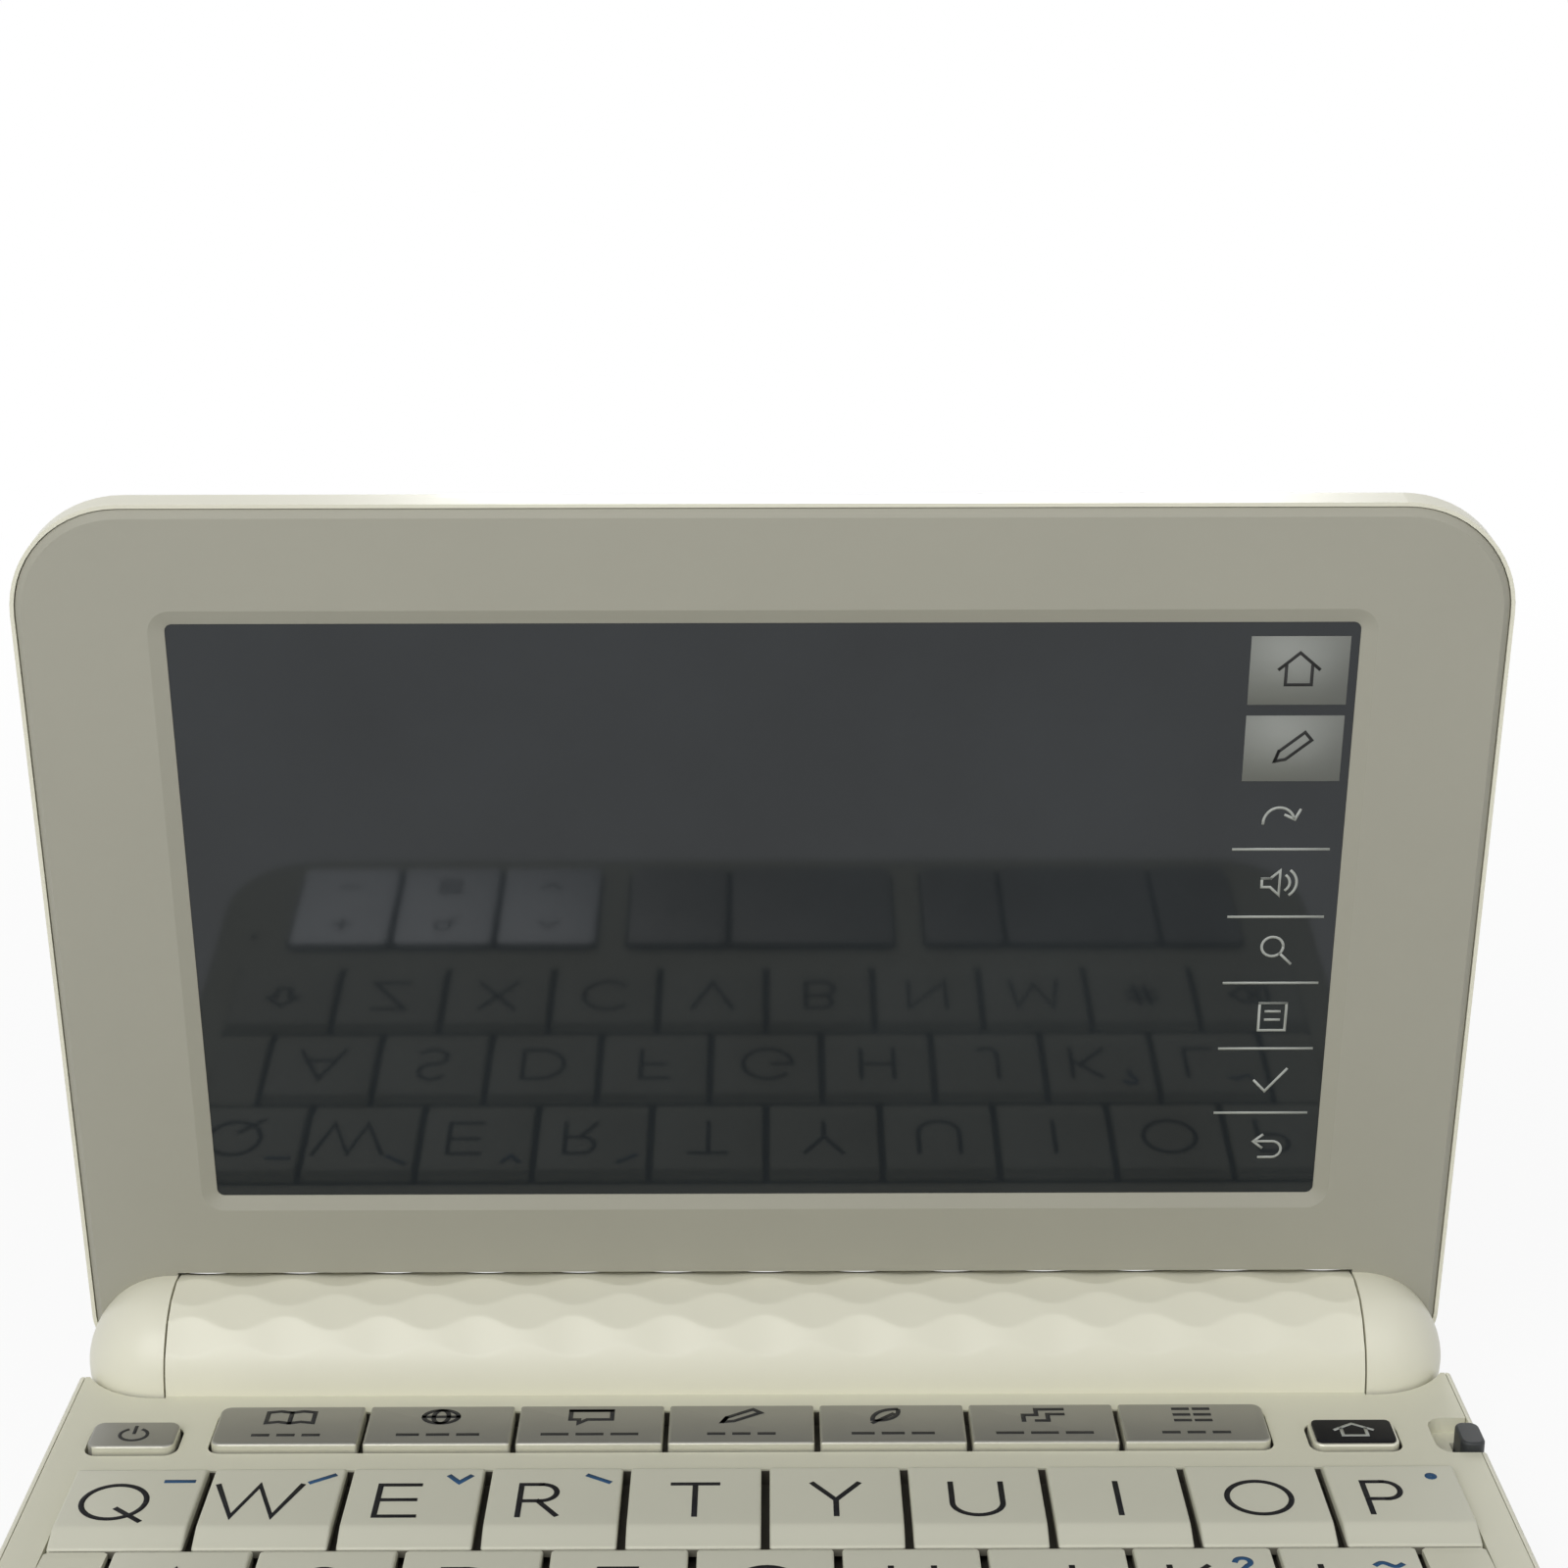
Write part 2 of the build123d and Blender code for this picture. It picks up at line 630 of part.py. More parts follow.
# ---------------------------------------------------------------- inside the base
def make_main_board():
    x0 = -half_width + case_wall + board_gap
    x1 = groove_inner_x - case_wall - board_gap
    y0 = front_y + case_wall + board_gap
    y1 = axis_y - barrel_radius - case_wall - board_gap
    below, above = board_z - over, sheet_z + over
    board = rounded_block(x0, x1, y0, y1, board_z, sheet_z, corner_radius - case_wall - board_gap)
    board -= [rod_z(x, y, boss_radius + board_gap, below, above) for x, y in screw_places]
    jack_x = -half_width + case_wall
    jack_half = jack_body[1] / 2
    board -= block(x0 - over, jack_x + jack_body[0], jack_y - jack_half, jack_y + jack_half, below, above)
    jack = block(jack_x, jack_x + jack_body[0], jack_y - jack_half, jack_y + jack_half,
                 jack_z - jack_body[2] / 2, jack_z + jack_body[2] / 2)
    jack += rod_x(-half_width + seam, jack_x, jack_nose_radius, jack_y, jack_z)
    jack -= rod_x(-half_width - over, seam + jack_bore_length - half_width, jack_bore_radius, jack_y, jack_z)
    usb_half = usb_size[1] / 2
    usb_x = -half_width + case_wall / 2
    usb = block(usb_x, usb_x + usb_size[0], usb_y - usb_half, usb_y + usb_half,
                usb_z - usb_size[2] / 2, usb_z + usb_size[2] / 2)
    usb -= block(usb_x - over, usb_x + usb_size[0] - socket_back, usb_y - usb_half + socket_wall,
                 usb_y + usb_half - socket_wall, usb_z - usb_size[2] / 2 + socket_wall,
                 usb_z + usb_size[2] / 2 - socket_wall)
    board -= block(x0 - over, usb_x + usb_size[0], usb_y - usb_half, usb_y + usb_half, below, above)
    speaker = rod_z(speaker_x, speaker_y, speaker_radius, floor_z, floor_z + speaker_height)
    chips = [block(x, x + size, y, y + size, board_z - chip_height, board_z)
             for x, y, size in chip_corners]
    card_half = card_size[1] / 2
    card_x = -half_width + case_wall
    card = block(card_x, card_x + card_size[0], card_y - card_half, card_y + card_half,
                 board_z - card_size[2], board_z)
    card -= block(card_x - over, card_x + card_size[0] - socket_back, card_y - card_half + socket_wall,
                  card_y + card_half - socket_wall, board_z - card_size[2] + socket_wall / 2,
                  board_z - socket_wall / 2)
    return Compound(children=[board + chips + [card], jack, usb, speaker])


def make_dome_sheet():
    """The rubber sheet under the keys, with a pad under every post."""
    sheet = rounded_block(sheet_left, sheet_right, front_block_front, category_rear,
                          sheet_z, sheet_top_z, corner_radius - case_wall)
    jack_half = jack_body[1] / 2 + board_gap
    sheet -= block(sheet_left - over, -half_width + case_wall + jack_body[0] + board_gap,
                   jack_y - jack_half, jack_y + jack_half, sheet_z - over, sheet_top_z + over)
    sheet -= [rod_z(x, y, boss_radius + board_gap, sheet_z - over, sheet_top_z + over)
              for x, y in screw_places]
    pads = []
    for x, y, width, depth in stems:
        half = min(dome_size, depth) / 2
        pads.append(block(x - half, x + half, y - half, y + half, sheet_top_z, sheet_top_z + dome_height))
    return sheet + pads


def make_case_screws():
    screws = []
    for x, y in screw_places:
        screw = rod_z(x, y, screw_head_radius, case_bottom_z + screw_sunk, screw_head_top_z)
        screw += rod_z(x, y, screw_radius, screw_head_top_z, deck_bottom_z + thread_depth - seam)
        screws.append(screw)
    return Compound(children=screws)


def make_stylus():
    """A slim square pen in the groove, whose tail stands up through the deck."""
    shaft = block(stylus_outer - stylus_thickness, stylus_outer, stylus_front, stylus_rear,
                  stylus_z, stylus_z + stylus_thickness)
    shaft = chamfer(shaft.faces().sort_by(Axis.Y)[0].edges(), stylus_round)
    tail = rounded_block(tail_inner_x, stylus_outer, stylus_tail_front, stylus_rear,
                         stylus_z, deck_z + stylus_rise, stylus_round)
    tail = fillet(tail.faces().sort_by(Axis.Z)[-1].edges(), stylus_tail_edge)
    return shaft + tail


# ---------------------------------------------------------------- lid, made closed about the axis
def lid_sweep():
    """The space that the barrel needs, cut from the lower edge of the lid's shells."""
    space = barrel_radius + lid_sweep_gap
    return rod_x(-cap_from, cap_from, space) + block(-cap_from, cap_from, 0, 2 * space, -space, 2 * space)


def lid_plan(inset):
    """The lid's outline at a distance inside its edge, with the ears past the hinge axis."""
    return corner_plan(half_width - inset, -lid_reach + inset, lid_ear_drop - inset,
                       corner_radius - inset, ear_radius - inset)


def make_bezel():
    bezel = extrude(Pos(0, 0, lid_gap) * lid_plan(bezel_inset + seam), bezel_thickness)
    bezel = chamfer(bezel.faces().sort_by(Axis.Z)[0].edges(), bezel_bevel)
    lip = window_recess - seam
    face = Pos(0, window_y, lid_gap) * RectangleRounded(
        window_width + 2 * window_bevel, window_height + 2 * window_bevel, window_corner + window_bevel)
    opening = RectangleRounded(window_width, window_height, window_corner)
    glass_edge = Pos(0, window_y, lid_gap + lip) * opening
    bezel -= loft([face, glass_edge])
    bezel -= extrude(glass_edge, bezel_thickness)
    pocket = Pos(0, window_y, lid_gap + window_recess) * Rectangle(
        window_width + 2 * touch_border, window_height + 2 * touch_border)
    bezel -= extrude(pocket, bezel_thickness)
    return bezel - lid_sweep()


def make_cover():
    rim = lid_gap + cover_rim_set
    outside = lid_gap + lid_thickness
    cover = extrude(Pos(0, 0, rim) * lid_plan(0), outside - rim)
    cover = fillet(cover.faces().sort_by(Axis.Z)[-1].edges(), cover_back_round)
    cover -= extrude(Pos(0, 0, rim) * lid_plan(bezel_inset), lid_gap + bezel_thickness - rim)
    pocket_y0 = -lid_reach + cover_wall + bezel_inset
    pocket_half = half_width - cover_wall - bezel_inset
    cover -= rounded_block(-pocket_half, pocket_half, pocket_y0, -cover_pocket_from, rim,
                           outside - cover_wall, corner_radius - cover_wall)
    scoop_radius = (finger_scoop_width / 2) ** 2 / (2 * finger_scoop_depth)
    cover -= Pos(0, -lid_reach - scoop_radius + finger_scoop_depth, outside - cover_wall) * Cylinder(
        scoop_radius, 2 * cover_wall)
    return cover - lid_sweep()


def make_display():
    """The touch glass with the display bonded behind it."""
    fit = 2 * (touch_border - seam)
    front = lid_gap + window_recess
    glass_width = window_width + fit
    glass_height = window_height + fit
    glass = extrude(Pos(0, window_y, front) * Rectangle(glass_width, glass_height), touch_thickness)
    panel = Rectangle(glass_width - 2 * lcd_margin, glass_height - 2 * lcd_margin)
    panel = extrude(Pos(0, window_y, front + touch_thickness) * panel, lcd_thickness)
    return glass, panel


def make_caps(cover, bezel):
    """Domed caps that close the barrel's ends and carry the lid, with their axles."""
    caps = []
    for side in (-1, 1):
        cap = dome(side, 0.0) - cover - bezel
        cap += rod_x(*sorted((side * (cap_from - axle_length), side * cap_from)), axle_radius)
        caps.append(open_lid(cap))
    return Compound(children=caps)


# ---------------------------------------------------------------- assembly
bezel = make_bezel()
cover = make_cover()
glass, panel = make_display()

nodes = {
    "bottom_case": make_bottom_case(),
    "keyboard_deck": make_keyboard_deck(),
    "hinge_barrel": make_hinge_barrel(),
    "battery_door": make_battery_door(),
    "batteries": make_batteries(),
    "barrel_fittings": make_barrel_fittings(),
    "main_board": make_main_board(),
    "dome_sheet": make_dome_sheet(),
    "case_screws": make_case_screws(),
    "stylus": make_stylus(),
    "lid_bezel": open_lid(bezel),
    "lid_back_cover": open_lid(cover),
    "display_module": Compound(children=[open_lid(glass), open_lid(panel)]),
    "hinge_caps": make_caps(cover, bezel),
    **keys,
}

os.makedirs("parts", exist_ok=True)
for name, shape in nodes.items():
    export_step(shape, f"parts/{name}.step")
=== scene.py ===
import json
import math

import bpy
import numpy as np
from mathutils import Matrix, Vector


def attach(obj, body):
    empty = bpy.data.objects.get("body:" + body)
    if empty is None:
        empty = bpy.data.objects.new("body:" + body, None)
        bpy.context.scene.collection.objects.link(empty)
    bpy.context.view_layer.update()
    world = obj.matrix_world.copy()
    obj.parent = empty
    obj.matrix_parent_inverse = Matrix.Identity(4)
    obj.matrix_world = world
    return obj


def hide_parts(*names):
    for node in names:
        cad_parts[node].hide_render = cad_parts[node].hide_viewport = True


bl_info = {
    "name": "Clamshell dictionary looks",
    "version": (1, 0, 0),
    "blender": (4, 5, 0),
    "location": "View3D > Sidebar > Dictionary",
    "description": "Keycaps, faceted barrel, printed marks, finishes and studio for a pocket dictionary",
    "category": "Object",
}

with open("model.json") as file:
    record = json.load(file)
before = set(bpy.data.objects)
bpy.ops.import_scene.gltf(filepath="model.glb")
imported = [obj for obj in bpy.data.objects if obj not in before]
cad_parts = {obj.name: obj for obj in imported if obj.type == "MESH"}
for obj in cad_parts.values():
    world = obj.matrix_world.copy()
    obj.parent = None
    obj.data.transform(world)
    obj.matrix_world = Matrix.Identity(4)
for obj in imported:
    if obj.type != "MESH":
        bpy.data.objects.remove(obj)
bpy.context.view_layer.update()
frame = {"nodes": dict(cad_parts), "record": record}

MM = 0.001

# Lengths of the part and of the camera are in millimetres. Those of the stage are in metres.
DECK_Z = 9.2  # top of the keyboard deck
AXIS_Y = 43.75  # hinge axis
AXIS_Z = 9.2
OPEN_ANGLE = math.radians(83.25)
GLASS_OUT = 3.12  # touch panel's face, out from the hinge axis in the lid's frame
SCOOP_LEFT = 69.0  # left edge of the scoop beside the stylus
INK_LIFT = 0.01  # a print's distance from what it is printed on
INK_THICK = 0.015

# Letter keys: each row as its letters, its left end and its rear edge.
LETTER_ROWS = (
    ("qwertyuiop", -69.7, 19.3),
    ("asdfghjkl", -62.73, 4.3),
    ("^zxcvbnm#<", -69.7, -10.7),
)
SIGN_KEYS = {"^": ("shift_key", "shift"), "#": ("symbol_key", "hash"), "<": ("delete_key", "erase")}
KEY_PITCH = 13.94
KEY_GAP = 0.84
KEY_DEPTH = 14.55
EDGE_RISE = 0.3  # a letter key's front and rear edges above the deck
RIDGE_RISE = 1.15
RIDGE = 2.85  # from a key's front edge to its ridge
BEVEL_RISE = 1.05
BEVEL = 1.2  # depth of the bevel at the rear edge
RIDGE_SOFT = 0.004  # square of the height over which two slopes blend
LETTER_FOOT = 10.1  # from a key's rear edge to the foot of its letter
LETTER_WIDTH = 0.96
LETTER_SHIFT = 1.5  # to the left, where an accent stands beside the letter
SIGN_BACK = 7.0  # from a key's rear edge to the centre of its sign
SIGN_SIZE = 4.4
ACCENT_SIZE = 2.4

# Level keys
CAP_BOTTOM = DECK_Z - 0.7
FLAT_EDGE = 0.25  # rounding of the lower caps' upper edges
KEY_CORNER = 1.1
CATEGORY_LEFT = -57.31
CATEGORY_PITCH = 15.66
CATEGORY_GAP = 0.6
CATEGORY_Y = (23.3, 31.0)
CATEGORY_TOP = DECK_Z + 0.9
INNER_CORNER = 0.3  # where two category keys meet
SIDE_Y = (22.95, 27.95)
POWER_X = (-69.6, -60.7)
HOME_X = (56.3, 65.2)
HOME_TOP = DECK_Z + 0.6
PLATE_INSET = 0.35  # the home key's dark plate, inside the key's outline
PLATE_CORNER = 0.6
PLATE_BOTTOM = DECK_Z + 0.4
PLATE_EDGE = 0.12
FRONT_Y = (-49.3, -30.4)
FRONT_TOP = DECK_Z + 0.8
FRONT_GAP = 0.7
FRONT_CORNER = 1.0
FUNCTION_LEFT = -64.0
COMMAND_KEYS = {  # node: left and right edges
    "back_key": (-18.6, -5.36),
    "enter_key": (-4.66, 17.12),
    "cursor_left_key": (21.4, 31.8),
    "cursor_rocker": (32.5, 52.7),
    "cursor_right_key": (53.4, 63.8),
}

# Hinge barrel. Angles run from the front, over the top, to the back.
BARREL_RADIUS = 9.0
BARREL_BORE = 7.6
BARREL_HALF = 63.8  # half its length
BARREL_SPAN = (-91.91, 204.97)  # degrees that the skin covers; the battery door covers the rest
BORE_SPAN = (210.0, -92.26)
FACET_ROWS = 7
FACET_FIRST = 41  # degrees to the first row of facets
FACET_STEP = 18.5
FACET_LEVEL = 8.85  # mean distance of the facets from the axis
FACET_REACH = 0.6  # half the angle, in radians, over which one row is worked out
PLUG_FROM = 52.0  # inner end of a plug
PLUG_SPAN = (199, 273)  # degrees over which a plug fills the skin's opening
PLUG_SUNK = 0.005  # a plug's face in the opening, inside the plain radius
PLUG_OVERLAP = 0.02  # a plug's rim, outside the bore
SKIN_LOOPS = 250  # along the barrel
SKIN_POINTS = 320  # round its outside
BORE_POINTS = 40

# Touch keys at the display's right: places across, and distances from the hinge axis along the lid
FIELD_X = (48.25, 58.1)
FIELDS = (("upper", "home", 75.34, 82.66), ("lower", "pen", 67.0, 74.17))
FIELD_SIGN_X = 53.2
FIELD_SIGN_UP = (79.1, 70.7)
FIELD_SIGN_SIZE = 3.6
TOUCH_SIGNS = (("jump", 52.6, 63.3), ("speaker", 52.8, 55.6), ("search", 53.0, 47.9),
               ("note", 53.2, 40.0), ("check", 53.4, 32.3), ("back", 53.6, 24.1))
TOUCH_SIGN_SIZE = 3.5
RULE_X = (47.9, 57.6)
RULES = (59.4, 51.7, 44.0, 36.2, 28.4)

# Camera
IMAGE_WIDTH = 1600  # pixels
FOCAL_LENGTH = 2901.35  # pixels
SENSOR_WIDTH = 36.0
CAMERA_PLACE = (0.83, -235.27, 160.65)
CAMERA_TURN = (17.17, 0.25, -0.06)  # pitch down, yaw to the right and roll, in degrees


# ---------------------------------------------------------------- what a user may change
class DictionarySizes(bpy.types.PropertyGroup):
    facet_pitch: bpy.props.FloatProperty(
        name="Facet pitch", description="Length of one facet along the barrel, in millimetres",
        default=10.26, min=4.0, max=20.0)
    facet_wave: bpy.props.FloatProperty(
        name="Facet wave", description="Swing of the facets' distance from the axis, in millimetres",
        default=0.13, min=0.0, max=0.15)
    cap_edge: bpy.props.FloatProperty(
        name="Keycap edge", description="Rounding of the keycaps' upper edges, in millimetres",
        default=0.3, min=0.05, max=0.4)
    letter_height: bpy.props.FloatProperty(
        name="Letter height",
        description="Height of the letters along their middle lines, in millimetres",
        default=5.83, min=2.0, max=8.0)
    letter_stroke: bpy.props.FloatProperty(
        name="Letter stroke", description="Line width of the printed letters, in millimetres",
        default=0.57, min=0.1, max=1.0)
    mark_stroke: bpy.props.FloatProperty(
        name="Mark stroke", description="Line width of the small marks, in millimetres",
        default=0.36, min=0.1, max=1.0)


class DictionaryColours(bpy.types.PropertyGroup):
    shell: bpy.props.FloatVectorProperty(
        name="Shell", description="Cream shells of the base, barrel and lid", subtype="COLOR",
        size=3, default=(0.81, 0.795, 0.655))
    deck: bpy.props.FloatVectorProperty(
        name="Deck", description="Keyboard deck", subtype="COLOR", size=3,
        default=(0.73, 0.72, 0.58))
    letter_key: bpy.props.FloatVectorProperty(
        name="Letter keys", description="Letter keycaps", subtype="COLOR", size=3,
        default=(0.695, 0.69, 0.57))
    bezel: bpy.props.FloatVectorProperty(
        name="Display frame", description="Painted frame round the display", subtype="COLOR",
        size=3, default=(0.385, 0.376, 0.31))
    silver: bpy.props.FloatVectorProperty(
        name="Silver keys", description="Category and power keys", subtype="COLOR", size=3,
        default=(0.31, 0.305, 0.27))
    ink: bpy.props.FloatVectorProperty(
        name="Ink", description="Letters on the keys", subtype="COLOR", size=3,
        default=(0.012, 0.012, 0.014))
    accent: bpy.props.FloatVectorProperty(
        name="Blue ink", description="Accent marks on some letter keys", subtype="COLOR", size=3,
        default=(0.025, 0.085, 0.19))


class StageSettings(bpy.types.PropertyGroup):
    overhead: bpy.props.FloatProperty(
        name="Overhead", description="Power of the soft box above", default=7.2, min=0.0,
        unit="POWER")
    fill: bpy.props.FloatProperty(
        name="Fill", description="Power of the soft box in front", default=1.8, min=0.0,
        unit="POWER")
    rear: bpy.props.FloatProperty(
        name="Rear", description="Power of the soft box behind the lid", default=3.2, min=0.0,
        unit="POWER")
    ambient: bpy.props.FloatProperty(
        name="Ambient", description="Strength of the even light from the room", default=0.30,
        min=0.0, max=1.0, subtype="FACTOR")


# ---------------------------------------------------------------- finishes
CLOUD_SCALE = 60.0  # broad noise, in waves to the metre
ZONE_BLUR = 0.05
GRAIN_DEPTH = 0.02


def finish(name, colour, roughness, tint=0.03, grain=0.0, grain_size=0.25, metallic=0.0, gloss=0.5,
           zone=None):
    """A moulded or painted finish. A broad noise in Object coordinates shifts the colour by the share
    tint, and a fine one, grain_size millimetres across, gives the surface its grain. A zone is an
    axis, a place on it and a colour: the surface has that colour below the place. Along Z it ends at
    the stylus scoop, and as far out on the left."""
    material = bpy.data.materials.new(f"{name}_finish")
    material.use_nodes = True
    nodes, links = material.node_tree.nodes, material.node_tree.links
    shader = nodes["Principled BSDF"]
    shader.inputs["Roughness"].default_value = roughness
    shader.inputs["Metallic"].default_value = metallic
    shader.inputs["Specular IOR Level"].default_value = gloss
    place = nodes.new("ShaderNodeTexCoord")
    cloud = nodes.new("ShaderNodeTexNoise")
    cloud.inputs["Scale"].default_value = CLOUD_SCALE
    cloud.inputs["Detail"].default_value = 3.0
    links.new(place.outputs["Object"], cloud.inputs["Vector"])
    shade = nodes.new("ShaderNodeMix")
    shade.data_type = "RGBA"
    links.new(cloud.outputs["Fac"], shade.inputs["Factor"])
    shade.inputs["A"].default_value = (*[c * (1 - tint) for c in colour], 1)
    shade.inputs["B"].default_value = (*[min(1.0, c * (1 + tint)) for c in colour], 1)
    links.new(shade.outputs["Result"], shader.inputs["Base Color"])
    if zone:
        axis, limit, other = zone
        axes = nodes.new("ShaderNodeSeparateXYZ")
        links.new(place.outputs["Object"], axes.inputs[0])
        past = nodes.new("ShaderNodeMapRange")
        past.inputs["From Min"].default_value = (limit + ZONE_BLUR) * MM
        past.inputs["From Max"].default_value = (limit - ZONE_BLUR) * MM
        links.new(axes.outputs[axis], past.inputs["Value"])
        middle = nodes.new("ShaderNodeMath")
        middle.operation = "COMPARE"
        middle.inputs[1].default_value = 0.0
        middle.inputs[2].default_value = (SCOOP_LEFT if axis == "Z" else 2 * SCOOP_LEFT) * MM
        links.new(axes.outputs["X"], middle.inputs[0])
        both = nodes.new("ShaderNodeMath")
        both.operation = "MULTIPLY"
        links.new(past.outputs["Result"], both.inputs[0])
        links.new(middle.outputs[0], both.inputs[1])
        two = nodes.new("ShaderNodeMix")
        two.data_type = "RGBA"
        links.new(both.outputs[0], two.inputs["Factor"])
        links.new(shade.outputs["Result"], two.inputs["A"])
        two.inputs["B"].default_value = (*other, 1)
        links.new(two.outputs["Result"], shader.inputs["Base Color"])
    if grain > 0:
        fine = nodes.new("ShaderNodeTexNoise")
        fine.inputs["Scale"].default_value = 1 / (grain_size * MM)
        fine.inputs["Detail"].default_value = 2.0
        links.new(place.outputs["Object"], fine.inputs["Vector"])
        bump = nodes.new("ShaderNodeBump")
        bump.inputs["Strength"].default_value = grain
        bump.inputs["Distance"].default_value = GRAIN_DEPTH * MM
        links.new(fine.outputs["Fac"], bump.inputs["Height"])
        links.new(bump.outputs["Normal"], shader.inputs["Normal"])


def make_finishes():
    """Makes all finishes, those of the record's material slots and the printing inks."""
    colours = bpy.context.scene.dictionary_colours
    finish("case_shell", colours.shell, 0.42, grain=0.05)
    finish("barrel_shell", colours.shell, 0.36, tint=0.02, grain=0.04)
    finish("lid_shell", colours.shell, 0.32, tint=0.02)
    # Painted shade: below 9.0 mm, in the key wells and the gaps under the keys, the deck is painted near
    # black where shade falls.
    finish("deck_shell", colours.deck, 0.5, grain=0.12, zone=("Z", 9.0, (0.085, 0.078, 0.062)))
    # Painted shade: the letter keys' sides below 9.3 mm, down in the gaps between keys, are painted dark
    # grey where shade falls.
    finish("letter_key", colours.letter_key, 0.46, grain=0.1, zone=("Z", 9.3, (0.2, 0.19, 0.15)))
    finish("lid_face", colours.bezel, 0.55, grain=0.25, grain_size=0.18)
    finish("silver_key", colours.silver, 0.36, tint=0.02, grain=0.08, grain_size=0.1, metallic=0.45,
           zone=("Z", 9.95, (0.68, 0.67, 0.56)))
    finish("function_key", (0.56, 0.575, 0.60), 0.36, tint=0.02, grain=0.06, metallic=0.6)
    finish("command_key", (0.30, 0.295, 0.28), 0.38, tint=0.02, grain=0.06, metallic=0.5)
    finish("home_key_top", (0.010, 0.010, 0.012), 0.35, tint=0.1, gloss=0.1)
    finish("stylus_grip", (0.038, 0.042, 0.044), 0.45, tint=0.06, grain=0.1, gloss=0.3)
    finish("battery_wrap", (0.70, 0.71, 0.74), 0.3, metallic=0.9)
    finish("steel_fitting", (0.62, 0.61, 0.59), 0.28, metallic=1.0)
    finish("circuit_board", (0.03, 0.16, 0.06), 0.4, tint=0.08,
           zone=("X", -58.0, (0.03, 0.03, 0.03)))
    finish("key_rubber", (0.05, 0.05, 0.05), 0.7)
    finish("display_glass", (0.019, 0.023, 0.026), 0.05, tint=0.3, gloss=0.42)
    finish("ink", colours.ink, 0.7, tint=0.1, gloss=0.15)
    finish("accent_ink", colours.accent, 0.7, tint=0.08, gloss=0.25)
    finish("pale_print", (0.40, 0.42, 0.39), 0.3, tint=0.03)
    finish("white_print", (0.66, 0.66, 0.64), 0.4, tint=0.03)
    finish("soft_key_field", (0.25, 0.26, 0.24), 0.6, tint=0.02)
    finish("dark_print", (0.03, 0.03, 0.03), 0.6, tint=0.08, gloss=0.2)


# ---------------------------------------------------------------- surfaces
CORNER_POINTS = 8
EDGE_RINGS = 6
CAP_EDGE_POINTS = 5  # across the rounded edge of a letter key


def lay_piece(name, points, faces, body, slot, material="", replaced=(), smooth=30.0):
    """Makes a mesh of points in millimetres, smooth but for edges sharper than the angle given, gives it
    the finish of its slot or of the material given, lets it ride on its body, and hides the CAD nodes
    that it stands for."""
    mesh = bpy.data.meshes.new(name)
    mesh.from_pydata((np.asarray(points) * MM).tolist(), [], faces)
    mesh.validate()
    mesh.shade_smooth()
    mesh.set_sharp_from_angle(angle=math.radians(smooth))
    mesh.materials.append(bpy.data.materials[f"{material or slot}_finish"])
    piece = bpy.data.objects.new(name, mesh)
    bpy.context.scene.collection.objects.link(piece)
    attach(piece, body)
    if replaced:
        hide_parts(*replaced)
    return piece


def loop_faces(rings, count):
    """Quads between closed rings of count points each, ring after ring, with the last column joined
    to the first. Rings run counter-clockwise seen from the side that they are stacked towards."""
    ring, column = np.meshgrid(np.arange(rings - 1), np.arange(count), indexing="ij")
    after = (column + 1) % count
    quads = np.stack([ring * count + column, ring * count + after,
                      (ring + 1) * count + after, (ring + 1) * count + column], axis=-1)
    return quads.reshape(-1, 4).tolist()


def stacked(rings):
    """Points and faces of a closed skin: rings of equal count, stacked in order, with a flat face on
    the first ring and on the last."""
    count = len(rings[0])
    faces = loop_faces(len(rings), count)
    faces.append(list(range(count))[::-1])
    faces.append([(len(rings) - 1) * count + i for i in range(count)])
    return np.concatenate(rings), faces


def rounded_outline(x0, x1, y0, y1, radii):
    """A rectangle with a radius for each corner, from the lower left and counter-clockwise: each corner
    is a quarter circle. Gives the points and their outward normals."""
    centres = [(x0, y0, 1, 1, 180), (x1, y0, -1, 1, 270), (x1, y1, -1, -1, 0), (x0, y1, 1, -1, 90)]
    points, normals = [], []
    for (x, y, sx, sy, start), radius in zip(centres, radii):
        angle = np.radians(start + np.linspace(0, 90, CORNER_POINTS))
        normal = np.stack([np.cos(angle), np.sin(angle)], axis=1)
        points.append(np.array([x + sx * radius, y + sy * radius]) + radius * normal)
        normals.append(normal)
    return np.concatenate(points), np.concatenate(normals)


def pad_cap(x0, x1, y0, y1, radii, bottom, top, edge):
    """A keycap with a level top: the outline rises from the bottom, then runs in along a quarter circle
    of radius edge to the top face."""
    outline, normal = rounded_outline(x0, x1, y0, y1, radii)
    rings = [np.column_stack([outline, np.full(len(outline), bottom)])]
    for angle in np.radians(np.linspace(0, 90, EDGE_RINGS)):
        inset = edge * (1 - np.cos(angle))
        height = top - edge * (1 - np.sin(angle))
        rings.append(np.column_stack([outline - inset * normal, np.full(len(outline), height)]))
    return stacked(rings)


def letter_top(y, rear):
    """Height of a letter key's top at a depth: up a bevel from the rear edge, nearly level to the ridge,
    then down a steep band to the front edge. It is the least of three slopes, blended where two meet
    by a smooth minimum, (a + b - sqrt((a - b)^2 + soft)) / 2."""
    along = y - (rear - KEY_DEPTH)
    level = KEY_DEPTH - RIDGE - BEVEL
    front = DECK_Z + EDGE_RISE + along * (RIDGE_RISE - EDGE_RISE) / RIDGE
    middle = DECK_Z + RIDGE_RISE - (along - RIDGE) * (RIDGE_RISE - BEVEL_RISE) / level
    bevel = DECK_Z + EDGE_RISE + (rear - y) * (BEVEL_RISE - EDGE_RISE) / BEVEL
    top = (front + middle - np.sqrt((front - middle) ** 2 + RIDGE_SOFT)) / 2
    return (top + bevel - np.sqrt((top - bevel) ** 2 + RIDGE_SOFT)) / 2


